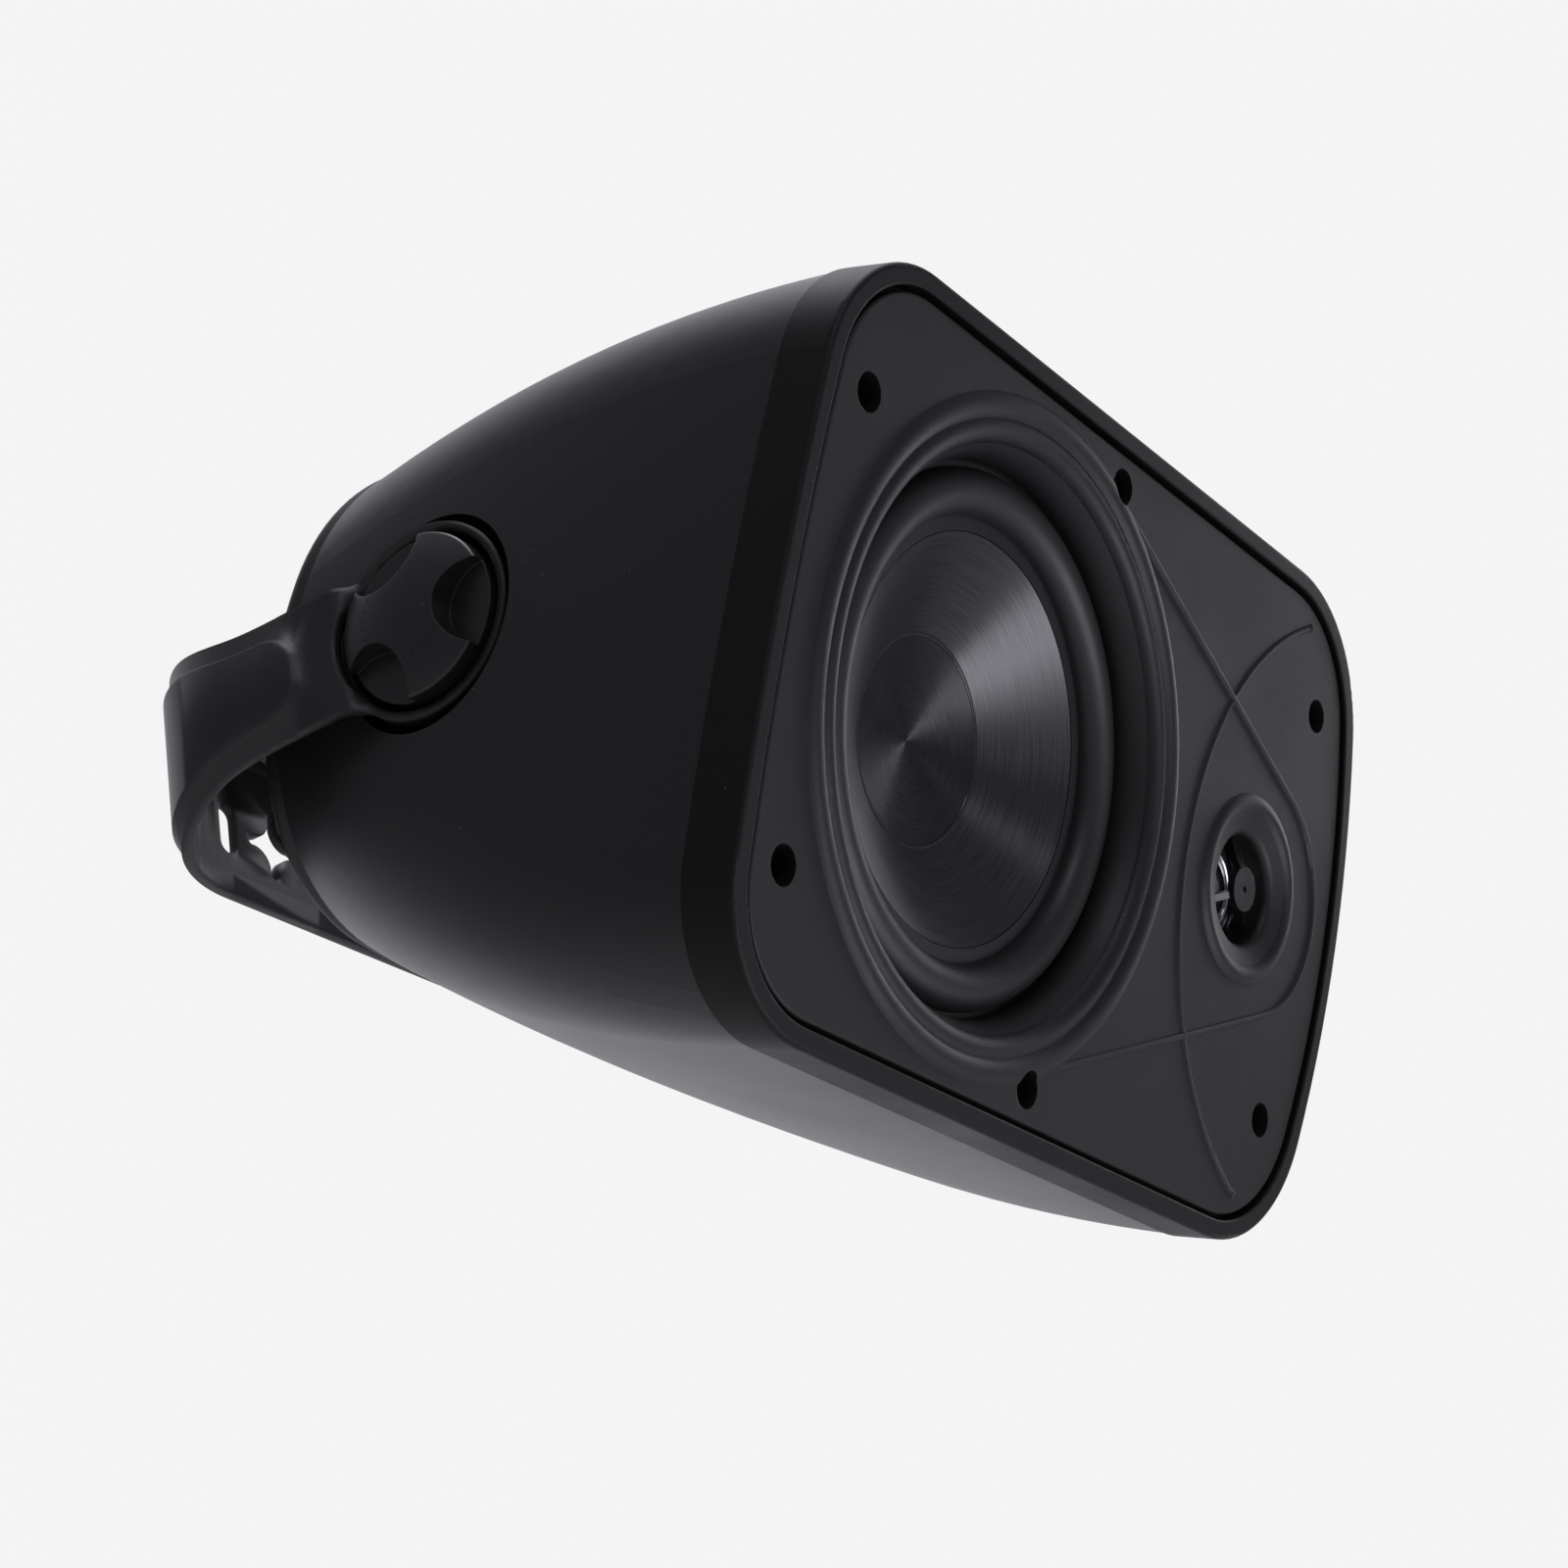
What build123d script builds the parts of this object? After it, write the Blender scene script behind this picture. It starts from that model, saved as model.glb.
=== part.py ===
from build123d import *
import os
from collections import namedtuple
from math import cos, radians, sin, sqrt

# Stance: the bracket's wall face is the XZ plane, +Z is up and the cabinet looks along -Y and down
tilt_deg = 22.5
pivot_to_wall = 116.0
pivot_to_baffle = 125.5

# Cabinet form, as outlines at three depths behind the baffle's front face, measured from its middle
woofer_reach = 164.85
tweeter_reach = 161.3
side_margin = 11.1
front_woofer_corner = 41.2
front_tweeter_corner = 50.7
front_woofer_bow = 5.8
front_tweeter_bow = 19.5
front_woofer_narrowing = 1.1
front_tweeter_flare = 0.9
belly_depth = 104.0
belly_end_draw = 4.7
belly_side_draw = 7.5
belly_corner = 53.0
belly_woofer_bow = 12.5
belly_tweeter_bow = 17.0
belly_side_bow = 4.0
rear_depth = 184.0
rear_end_draw = 15.35
rear_side_draw = 28.8
rear_corner_land = 6.5
rear_end_bow = 21.0
rear_side_bow = 6.8
shell_wall = 4.0
rear_flange_thickness = 5.0
rear_flange_width = 17.0

# Front rim and baffle
rim_proud = 1.0
rim_step = 0.5
rim_depth = 16.5
rim_lip_width = 5.4
rim_outer_round = 1.6
rim_inner_round = 0.6
ledge_width = 7.5
ledge_thickness = 10.5
baffle_thickness = 3.5
baffle_gap = 1.6
baffle_round = 1.0
gasket_thickness = 1.5

# Baffle screws in deep wells: how far in from the cabinet's end and side, or past the woofer's axis
woofer_end_screw_inset = (23.05, 43.2)
middle_screw_past_woofer = 38.2
middle_screw_inset = 16.8
tweeter_end_screw_inset = (34.0, 40.8)
well_bore = 5.5
well_wall = 1.5
well_depth = 16.0
well_floor = 2.5
screw_boss_r = 7.0
screw_boss_length = 36.0
screw_shank_r = 1.9
screw_head_r = 3.8
screw_head_height = 2.4
screw_length = 18.0
screw_clearance = 0.05

# Beads moulded on the baffle
belt_bead_r = 1.3
belt_bead_height = 0.9
crescent_bead_r = 1.15
crescent_bead_height = 0.7
crescent_dot_r = 1.5
belt_tuck = 2.0
belt_dish_land = 0.5
belt_edge_land = 10.8
crescent_trim_land = 9.3
crescent_end_inset = 46.0
crescent_side_inset = 14.6

# Woofer, and its share of the length that the two drivers leave spare
woofer_share = 0.2579
trim_outer_r = 97.0
trim_bead_r = 92.8
trim_bead_height = 1.4
trim_groove_r = 89.4
trim_crest_r = 86.6
trim_crest_height = 0.7
trim_throat_r = 78.6
trim_throat_depth = 13.5
trim_fall = 2.7
trim_lip = 3.4
woofer_gasket_thickness = 1.5
surround_thickness = 1.2
surround_outer_r = 83.0
surround_roll_out_r = 77.0
surround_roll_in_r = 63.0
cone_edge_r = 59.0
cone_edge_depth = 15.0
cone_thickness = 0.8
cap_r = 30.4
cap_depth = 30.6
cap_sink = 4.0
cap_thickness = 0.6
former_r = 15.5
former_thickness = 0.4
former_top_depth = 36.5
former_length = 30.0
winding_thickness = 1.0
winding_length = 10.0
magnet_gap = 0.5
basket_flange_r = 91.0
basket_flange_thickness = 2.0
basket_wall = 2.0
basket_throat_r = 74.0
basket_base_r = 50.0
basket_base_depth = 57.0
basket_base_thickness = 3.0
basket_spokes = 6
basket_spoke_width = 16.0
spider_depth = 44.0
spider_thickness = 0.8
spider_outer_r = 52.0
spider_waves = 4
spider_wave_height = 1.5
spider_ledge_r = 45.0
spider_ledge_thickness = 2.0
plate_r = 46.0
top_plate_thickness = 6.0
magnet_outer_r = 50.0
magnet_inner_r = 27.0
magnet_thickness = 18.0
yoke_thickness = 7.0
woofer_screw_circle_r = 86.5
woofer_screw_count = 4
woofer_screw_deg = 45.0
woofer_boss_r = 3.5
woofer_screw_length = 9.0

# Tweeter, and its share of the spare length
tweeter_share = 0.454
dish_outer_r = 30.5
dish_lip_r = 27.3
dish_lip_height = 1.3
dish_floor_r = 19.8
dish_floor_depth = 1.2
throat_r = 17.2
throat_edge_depth = 4.0
throat_depth = 9.5
throat_wall = 2.3
bridge_ring_r = 23.0
bridge_ring_thickness = 2.5
hub_r = 7.0
hub_thickness = 2.4
hub_depth = 1.2
hub_hole_r = 1.1
spoke_width = 2.4
spoke_thickness = 2.2
spoke_count = 3
spoke_first_deg = 90.0
housing_thickness = 6.5
housing_r = 24.0
lug_r = 3.6
lug_thickness = 3.0
housing_inner_r = 18.2
housing_step_r = 14.6
diaphragm_r = 12.5
diaphragm_height = 4.6
diaphragm_roll_r = 15.2
diaphragm_flange_r = 17.6
diaphragm_thickness = 0.5
diaphragm_play = 0.5
tweeter_coil_thickness = 0.5
tweeter_coil_length = 6.0
tweeter_plate_r = 22.0
tweeter_plate_thickness = 3.0
tweeter_magnet_r = 26.0
tweeter_magnet_thickness = 9.0
tweeter_gap = 0.5
tweeter_yoke_thickness = 3.5
tweeter_screw_circle_r = 28.0
tweeter_screw_count = 3
tweeter_screw_deg = 30.0
tweeter_boss_r = 3.2
tweeter_screw_length = 9.0

# Pivots and clamp knobs
socket_depth = 17.15
pivot_recess_r = 32.4
pivot_boss_r = 38.5
pivot_boss_depth = 19.0
insert_r = 6.5
insert_length = 14.0
washer_thickness = 1.5
washer_r = 22.0
play = 0.2
stud_r = 4.0
stud_clearance = 0.06
stud_length = 26.0
stud_grip = 4.0
knob_r = 24.7
knob_stand = 4.0
knob_crown = 5.8
knob_round = 1.2
knob_scoops = 3
scoop_first_deg = 11.0
scoop_r = 12.9
scoop_centre_r = 23.7
scoop_rim_drop = 3.5

# Wall bracket, a pressed strap with an eye at each end
strap_thickness = 3.2
strap_bend_r = 47.0
neck_step = 6.0
neck_end = 19.5
neck_jog = 6.5
neck_round = 3.0
neck_shoulder_round = 8.0
neck_half_width = 20.0
arm_half_width = 21.4
arm_half_width_at = 70.0
back_half_width = 27.5
back_width_at = 104.0
eye_floor_thickness = 3.4
collar_r = 29.4
collar_wall = 2.4
collar_height = 10.9
collar_round = 0.8
emboss_height = 2.2
emboss_border = 5.5
emboss_start = 40.0
emboss_corner = 12.5
emboss_slope = 1.8
back_end_inset = 41.5
back_middle_inset = 85.0
wall_hole_drop = 3.8
wall_slot_inset = 49.4
wall_slot_length = 16.5
wall_slot_width = 7.3
star_inset = 69.3
star_reach = 11.0
star_waist = 5.2
star_tip = 1.7

# Rear cover, terminal cup and binding posts
cover_inset = 1.0
cover_depth = 8.0
cover_plate = 4.0
cover_round = 5.0
cover_gasket_thickness = 1.0
cover_screw_x = 70.0
cover_screw_side_inset = 12.3
cover_screw_end_inset = 12.5
cover_screw_length = 14.0
cover_boss_r = 5.0
cup_x = -42.0
cup_length = 66.0
cup_width = 46.0
cup_corner = 8.0
cup_wall = 2.5
cup_depth = 24.0
post_spacing = 26.0
post_stem_r = 2.5
post_stem_length = 31.0
post_stem_tail = 10.0
post_base_r = 7.5
post_base_thickness = 3.0
post_cap_r = 6.5
post_cap_length = 13.0
post_cap_flutes = 10
post_cap_flute_r = 0.9
post_clearance = 0.06

# Crossover on the rear cover
board_x = 66.0
board_length = 92.0
board_width = 60.0
board_thickness = 1.6
board_stand = 10.0
board_stand_r = 3.5
board_screw_inset = 6.0
board_screw_length = 8.0
inductor_outer_r = 16.0
inductor_inner_r = 7.0
inductor_height = 14.0
capacitor_r = 7.0
capacitor_length = 26.0
resistor_size = (26.0, 9.5, 9.0)

# Directions of the tilted cabinet and the planes that its pieces stand on
tilt = radians(tilt_deg)
sideways = Vector(1, 0, 0)
forward = Vector(0, -cos(tilt), -sin(tilt))
upward = Vector(0, -sin(tilt), cos(tilt))
pivot = Vector(0, -pivot_to_wall, 0)
baffle_plane = Plane(origin=pivot + forward * pivot_to_baffle, x_dir=sideways, z_dir=forward)
forward_axis = Axis(baffle_plane.origin, forward)


def behind(depth):
    """The plane at a depth behind the baffle's front face, looking forward."""
    return baffle_plane.offset(-depth)


def driver_section(x):
    """A plane through a driver's axis: local x is the radius and local y points forward."""
    return Plane(origin=baffle_plane.from_local_coords((x, 0, 0)), x_dir=sideways, z_dir=-upward)


def driver_axis(x):
    """The axis of a driver that stands at x along the baffle."""
    return Axis(baffle_plane.from_local_coords((x, 0, 0)), forward)


def end_plane(end, reach):
    """The plane across the pivot at one end (-1 woofer, 1 tweeter), facing outwards."""
    return Plane(origin=pivot + sideways * (end * reach), x_dir=forward, z_dir=sideways * end)


# One end of an outline: how far it reaches, how much it bows, and its corners' place and radius
End = namedtuple("End", "reach bow side_reach corner")
Station = namedtuple("Station", "depth half_width woofer_end tweeter_end")
rim_back = rim_depth - rim_proud
front_half_width = trim_outer_r + side_margin
front_station = Station(
    rim_back,
    front_half_width,
    End(woofer_reach, front_woofer_bow, front_half_width - front_woofer_narrowing, front_woofer_corner),
    End(tweeter_reach, front_tweeter_bow, front_half_width + front_tweeter_flare, front_tweeter_corner),
)
belly_reach = woofer_reach - belly_end_draw
belly_half_width = front_half_width - belly_side_draw
belly_side_reach = belly_half_width - belly_side_bow
belly_station = Station(
    belly_depth,
    belly_half_width,
    End(belly_reach, belly_woofer_bow, belly_side_reach, belly_corner),
    End(tweeter_reach - belly_end_draw, belly_tweeter_bow, belly_side_reach, belly_corner),
)
rear_reach = woofer_reach - rear_end_draw
rear_half_width = front_half_width - rear_side_draw
rear_side_reach = rear_half_width - rear_side_bow
rear_end = End(rear_reach, rear_end_bow, rear_side_reach, rear_side_reach - rear_corner_land)
rear_station = Station(rear_depth, rear_half_width, rear_end, rear_end)


def outline(station, inset=0.0):
    """A cabinet outline of four bowed sides and round corners, drawn smaller by an inset."""
    woofer, tweeter = station.woofer_end, station.tweeter_end
    side = station.half_width - inset
    woofer_tip = -woofer.reach + inset
    woofer_side = woofer.side_reach - inset
    woofer_corner = woofer_tip + woofer.bow
    tweeter_tip = tweeter.reach - inset
    tweeter_side = tweeter.side_reach - inset
    tweeter_corner = tweeter_tip - tweeter.bow
    with BuildSketch(mode=Mode.PRIVATE) as drawing:
        with BuildLine():
            ThreePointArc((woofer_corner, -woofer_side), (woofer_tip, 0), (woofer_corner, woofer_side))
            ThreePointArc((woofer_corner, woofer_side), (0, side), (tweeter_corner, tweeter_side))
            ThreePointArc((tweeter_corner, tweeter_side), (tweeter_tip, 0), (tweeter_corner, -tweeter_side))
            ThreePointArc((tweeter_corner, -tweeter_side), (0, -side), (woofer_corner, -woofer_side))
        make_face()
        fillet(drawing.vertices().group_by(Axis.X)[0], woofer.corner - inset)
        fillet(drawing.vertices().group_by(Axis.X)[-1], tweeter.corner - inset)
    return drawing.sketch_local


spare_length = woofer_reach + tweeter_reach - 2 * trim_outer_r - 2 * dish_outer_r
woofer_x = -woofer_reach + woofer_share * spare_length + trim_outer_r
tweeter_x = tweeter_reach - tweeter_share * spare_length - dish_outer_r
screw_rows = (
    (woofer_end_screw_inset[0] - woofer_reach, front_half_width - woofer_end_screw_inset[1]),
    (woofer_x + middle_screw_past_woofer, front_half_width - middle_screw_inset),
    (tweeter_reach - tweeter_end_screw_inset[0], front_half_width - tweeter_end_screw_inset[1]),
)
screw_spots = [(x, side * y) for x, y in screw_rows for side in (1, -1)]
well_r = well_bore + well_wall
cover_screw_y = rear_half_width - cover_screw_side_inset
cover_screw_spots = [(i * cover_screw_x, j * cover_screw_y) for i in (-1, 1) for j in (-1, 1)]
cover_screw_spots += [(side * (rear_reach - cover_screw_end_inset), 0.0) for side in (-1, 1)]

# The stack at each pivot, measured outwards from the cabinet's middle plane
pivot_floor = belly_reach - socket_depth
eye_base = pivot_floor + washer_thickness + play
eye_top = eye_base + eye_floor_thickness
neck_reach = eye_top + collar_height
knob_edge = neck_reach + knob_stand
knob_top = knob_edge + knob_crown
strap_span = neck_reach + neck_step

# Cabinet shell: a hollow lofted moulding with screw bosses, pivot sockets and a rear flange
with BuildPart() as cabinet_form:
    for station in (front_station, belly_station, rear_station):
        with BuildSketch(behind(station.depth)):
            add(outline(station))
    loft()

with BuildPart() as cabinet_bosses:
    boss_top = well_depth
    for x, y in screw_spots:
        reach = front_half_width
        with BuildSketch(behind(boss_top)):
            with Locations((x, y)):
                Circle(screw_boss_r)
            with Locations((x, (y + reach) / 2 if y > 0 else (y - reach) / 2)):
                Rectangle(screw_boss_r, reach - abs(y))
        extrude(amount=-screw_boss_length)
    for end in (-1, 1):
        with BuildSketch(end_plane(end, pivot_floor - pivot_boss_depth)):
            Circle(pivot_boss_r)
        extrude(amount=socket_depth + pivot_boss_depth)
    add(cabinet_form.part, mode=Mode.INTERSECT)

with BuildPart() as cabinet_shell:
    add(cabinet_form.part)
    for station in (front_station, belly_station, rear_station):
        with BuildSketch(behind(station.depth)):
            add(outline(station, shell_wall))
    loft(mode=Mode.SUBTRACT)
    with BuildSketch(behind(rear_depth)):
        add(outline(rear_station))
        add(outline(rear_station, rear_flange_width), mode=Mode.SUBTRACT)
    extrude(amount=rear_flange_thickness)
    with BuildSketch(behind(rear_depth)):
        with Locations(*cover_screw_spots):
            Circle(cover_boss_r)
    extrude(amount=cover_screw_length)
    add(cabinet_bosses.part)
    for end in (-1, 1):
        with BuildSketch(end_plane(end, pivot_floor)):
            Circle(pivot_recess_r)
        extrude(amount=woofer_reach, mode=Mode.SUBTRACT)
        with BuildSketch(end_plane(end, pivot_floor)):
            Circle(insert_r)
        extrude(amount=-insert_length, mode=Mode.SUBTRACT)
        with BuildSketch(end_plane(end, pivot_floor)):
            Circle(stud_r + stud_clearance)
        extrude(amount=-pivot_boss_depth, mode=Mode.SUBTRACT)
    with BuildSketch(behind(boss_top)):
        with Locations(*screw_spots):
            Circle(screw_shank_r + screw_clearance)
    extrude(amount=-screw_length, mode=Mode.SUBTRACT)
    with BuildSketch(behind(rear_depth)):
        with Locations(*cover_screw_spots):
            Circle(screw_shank_r + screw_clearance)
    extrude(amount=cover_screw_length, mode=Mode.SUBTRACT)

# Front rim: a frame that stands round the baffle, with an inner ledge for it
with BuildPart() as front_rim:
    with BuildSketch(behind(rim_back)):
        add(outline(front_station, -rim_step))
        add(outline(front_station, rim_lip_width), mode=Mode.SUBTRACT)
    extrude(amount=rim_depth)
    lip = front_rim.faces().sort_by(forward_axis)[-1]
    fillet(lip.outer_wire().edges(), rim_outer_round)
    lip = front_rim.faces().sort_by(forward_axis)[-1]
    fillet(lip.inner_wires()[0].edges(), rim_inner_round)
    with BuildSketch(behind(rim_back)):
        add(outline(front_station, rim_lip_width))
        add(outline(front_station, rim_lip_width + ledge_width), mode=Mode.SUBTRACT)
        with Locations(*screw_spots):
            Circle(well_r + baffle_gap, mode=Mode.SUBTRACT)
    extrude(amount=ledge_thickness)

# Baffle: a moulded panel with the woofer trim, the tweeter dish, screw wells and raised beads
woofer_seat = trim_throat_depth + woofer_gasket_thickness + surround_thickness
tweeter_seat = throat_depth + bridge_ring_thickness
with BuildPart() as baffle:
    with BuildSketch(behind(0)):
        add(outline(front_station, rim_lip_width + baffle_gap))
        with Locations((woofer_x, 0)):
            Circle(trim_outer_r, mode=Mode.SUBTRACT)
        with Locations((tweeter_x, 0)):
            Circle(dish_outer_r, mode=Mode.SUBTRACT)
    extrude(amount=-baffle_thickness)
    fillet(baffle.faces().sort_by(forward_axis)[-1].outer_wire().edges(), baffle_round)
    with BuildSketch(driver_section(woofer_x)):
        with BuildLine():
            ThreePointArc(
                (trim_outer_r, 0), (trim_bead_r, trim_bead_height), (trim_groove_r, 0)
            )
            ThreePointArc(
                (trim_groove_r, 0),
                (trim_crest_r, trim_crest_height),
                ((trim_crest_r + trim_throat_r) / 2, -trim_fall),
            )
            Spline(
                ((trim_crest_r + trim_throat_r) / 2, -trim_fall),
                (trim_throat_r, -trim_throat_depth),
                tangents=((-1, -1.1), (0, -1)),
            )
            Polyline(
                (trim_throat_r, -trim_throat_depth),
                (trim_throat_r + trim_lip, -trim_throat_depth),
                (trim_crest_r, -baffle_thickness - trim_lip / 2),
                (trim_groove_r, -baffle_thickness),
                (trim_outer_r, -baffle_thickness),
                (trim_outer_r, 0),
            )
        make_face()
    revolve(axis=driver_axis(woofer_x))
    with BuildSketch(driver_section(tweeter_x)):
        with BuildLine():
            ThreePointArc(
                (dish_outer_r, 0),
                (dish_lip_r, dish_lip_height),
                (2 * dish_lip_r - dish_outer_r, 0),
            )
            Line((2 * dish_lip_r - dish_outer_r, 0), (dish_floor_r, -dish_floor_depth))
            ThreePointArc(
                (dish_floor_r, -dish_floor_depth),
                ((dish_floor_r + 2 * throat_r) / 3, (-dish_floor_depth * 2 - throat_edge_depth) / 3),
                (throat_r, -throat_edge_depth),
            )
            Polyline(
                (throat_r, -throat_edge_depth),
                (throat_r, -throat_depth),
                (throat_r + throat_wall, -throat_depth),
                (throat_r + throat_wall, -baffle_thickness - throat_wall),
                (dish_outer_r, -baffle_thickness),
                (dish_outer_r, 0),
            )
        make_face()
    revolve(axis=driver_axis(tweeter_x))
    with BuildSketch(behind(baffle_thickness / 2)):
        with Locations(*screw_spots):
            Circle(well_r)
    extrude(amount=-(well_depth - baffle_thickness / 2))
    # Bosses behind the panel take the woofer's and the tweeter's screws
    with BuildSketch(behind(woofer_seat)):
        with Locations((woofer_x, 0)):
            with PolarLocations(woofer_screw_circle_r, woofer_screw_count, start_angle=woofer_screw_deg):
                Circle(woofer_boss_r)
    extrude(amount=woofer_seat - baffle_thickness)
    with BuildSketch(behind(tweeter_seat)):
        with Locations((tweeter_x, 0)):
            with PolarLocations(tweeter_screw_circle_r, tweeter_screw_count, start_angle=tweeter_screw_deg):
                Circle(tweeter_boss_r)
    extrude(amount=tweeter_seat - baffle_thickness)
    # The belt bead runs from the woofer trim round the tweeter, the crescent bead crosses it
    belt_r_woofer = trim_outer_r - belt_tuck
    belt_tip = tweeter_reach - rim_lip_width - baffle_gap - belt_edge_land
    belt_r_tweeter = (belt_tip - tweeter_x + dish_outer_r + belt_dish_land) / 2
    belt_centre = belt_tip - belt_r_tweeter
    belt_lean = (belt_r_woofer - belt_r_tweeter) / (belt_centre - woofer_x)
    belt_rise = sqrt(1 - belt_lean**2)
    with BuildLine(behind(belt_bead_r - belt_bead_height)) as belt:
        Line(
            (woofer_x + belt_r_woofer * belt_lean, belt_r_woofer * belt_rise),
            (belt_centre + belt_r_tweeter * belt_lean, belt_r_tweeter * belt_rise),
        )
        ThreePointArc(
            (belt_centre + belt_r_tweeter * belt_lean, belt_r_tweeter * belt_rise),
            (belt_centre + belt_r_tweeter, 0),
            (belt_centre + belt_r_tweeter * belt_lean, -belt_r_tweeter * belt_rise),
        )
        Line(
            (belt_centre + belt_r_tweeter * belt_lean, -belt_r_tweeter * belt_rise),
            (woofer_x + belt_r_woofer * belt_lean, -belt_r_woofer * belt_rise),
        )
    with BuildSketch(Plane(origin=belt.line @ 0, z_dir=belt.line % 0)):
        Circle(belt_bead_r)
    sweep(path=belt.line)
    crescent_nose = woofer_x + trim_outer_r + crescent_trim_land
    crescent_end = tweeter_reach - crescent_end_inset
    crescent_half_width = front_half_width - crescent_side_inset
    with BuildLine(behind(crescent_bead_r - crescent_bead_height)) as crescent:
        ThreePointArc(
            (crescent_end, crescent_half_width), (crescent_nose, 0), (crescent_end, -crescent_half_width)
        )
    with BuildSketch(Plane(origin=crescent.line @ 0, z_dir=crescent.line % 0)):
        Circle(crescent_bead_r)
    sweep(path=crescent.line)
    with Locations(crescent.line @ 0, crescent.line @ 1):
        Sphere(crescent_dot_r)
    with BuildSketch(behind(-trim_bead_height)):
        with Locations(*screw_spots):
            Circle(well_bore)
    extrude(amount=-(well_depth - well_floor + trim_bead_height), mode=Mode.SUBTRACT)
    with BuildSketch(behind(well_depth)):
        with Locations(*screw_spots):
            Circle(screw_shank_r + screw_clearance)
    extrude(amount=well_floor, mode=Mode.SUBTRACT)
    with BuildSketch(behind(woofer_seat)):
        with Locations((woofer_x, 0)):
            with PolarLocations(woofer_screw_circle_r, woofer_screw_count, start_angle=woofer_screw_deg):
                Circle(screw_shank_r + screw_clearance)
    extrude(amount=woofer_screw_length - basket_flange_thickness, mode=Mode.SUBTRACT)
    with BuildSketch(behind(tweeter_seat)):
        with Locations((tweeter_x, 0)):
            with PolarLocations(tweeter_screw_circle_r, tweeter_screw_count, start_angle=tweeter_screw_deg):
                Circle(screw_shank_r + screw_clearance)
    extrude(amount=tweeter_screw_length - lug_thickness, mode=Mode.SUBTRACT)


# Gasket under the baffle's edge
with BuildPart() as baffle_gasket:
    with BuildSketch(behind(baffle_thickness + gasket_thickness)):
        add(outline(front_station, rim_lip_width + baffle_gap))
        add(outline(front_station, rim_lip_width + ledge_width), mode=Mode.SUBTRACT)
        with Locations(*screw_spots):
            Circle(well_r + baffle_gap, mode=Mode.SUBTRACT)
    extrude(amount=gasket_thickness)


def pan_screws(depth, spots, length, facing=1, centre=(0.0, 0.0)):
    """Pan head screws with their heads on a plane, facing forward (1) or back (-1)."""
    with BuildPart() as screws:
        with BuildSketch(behind(depth)):
            with Locations(centre):
                with Locations(*spots):
                    Circle(screw_head_r)
        extrude(amount=facing * screw_head_height)
        with BuildSketch(behind(depth)):
            with Locations(centre):
                with Locations(*spots):
                    Circle(screw_shank_r)
        extrude(amount=-facing * length)
    return screws


def polar_spots(radius, count, first_deg):
    """Points spread evenly on a circle."""
    angles = [radians(first_deg + 360.0 * i / count) for i in range(count)]
    return [(radius * cos(a), radius * sin(a)) for a in angles]


baffle_screws = pan_screws(well_depth - well_floor, screw_spots, screw_length)

# Woofer: the moving cone with its cap and coil, hung in the basket by the surround and the spider
cone_slope = (cap_depth - cone_edge_depth) / (cone_edge_r - cap_r)
neck_r = former_r + former_thickness
neck_depth = cone_edge_depth + cone_slope * (cone_edge_r - neck_r)
cone_skin = cone_thickness * sqrt(1 + cone_slope**2)

with BuildPart() as woofer_gasket:
    with BuildSketch(behind(trim_throat_depth + woofer_gasket_thickness)):
        with Locations((woofer_x, 0)):
            Circle(surround_outer_r)
            Circle(trim_throat_r, mode=Mode.SUBTRACT)
    extrude(amount=woofer_gasket_thickness)

roll_r = (surround_roll_out_r - surround_roll_in_r) / 2
roll_centre = (surround_roll_out_r + surround_roll_in_r) / 2
roll_base = -(trim_throat_depth + woofer_gasket_thickness)
roll_under = roll_base - surround_thickness
with BuildPart() as woofer_surround:
    with BuildSketch(driver_section(woofer_x)):
        with BuildLine():
            Line((surround_outer_r, roll_base), (surround_roll_out_r, roll_base))
            ThreePointArc(
                (surround_roll_out_r, roll_base),
                (roll_centre, roll_base + roll_r),
                (surround_roll_in_r, roll_base),
            )
            Polyline(
                (surround_roll_in_r, roll_base),
                (cone_edge_r, roll_base),
                (cone_edge_r, roll_under),
                (surround_roll_in_r + surround_thickness, roll_under),
                (surround_roll_in_r + surround_thickness, roll_base),
            )
            ThreePointArc(
                (surround_roll_in_r + surround_thickness, roll_base),
                (roll_centre, roll_base + roll_r - surround_thickness),
                (surround_roll_out_r - surround_thickness, roll_base),
            )
            Polyline(
                (surround_roll_out_r - surround_thickness, roll_base),
                (surround_roll_out_r - surround_thickness, roll_under),
                (surround_outer_r, roll_under),
                (surround_outer_r, roll_base),
            )
        make_face()
    revolve(axis=driver_axis(woofer_x))

with BuildPart() as woofer_cone:
    with BuildSketch(driver_section(woofer_x)):
        with BuildLine():
            Polyline(
                (cone_edge_r, -cone_edge_depth),
                (cone_edge_r, -cone_edge_depth - cone_skin),
                (neck_r, -neck_depth - cone_skin),
                (neck_r, -neck_depth),
                close=True,
            )
        make_face()
    revolve(axis=driver_axis(woofer_x))

cap_slope = cap_sink / cap_r
cap_seat_r = cap_r - cap_thickness / (cone_slope - cap_slope)
with BuildPart() as woofer_dust_cap:
    with BuildSketch(driver_section(woofer_x)):
        with BuildLine():
            Polyline(
                (0, -cap_depth - cap_sink),
                (cap_r, -cap_depth),
                (cap_seat_r, -cap_depth - cone_slope * (cap_r - cap_seat_r)),
                (0, -cap_depth - cap_sink - cap_thickness),
                close=True,
            )
        make_face()
    revolve(axis=driver_axis(woofer_x))

with BuildPart() as voice_coil_former:
    with BuildSketch(behind(former_top_depth)):
        with Locations((woofer_x, 0)):
            Circle(neck_r)
            Circle(former_r, mode=Mode.SUBTRACT)
    extrude(amount=-former_length)

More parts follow.
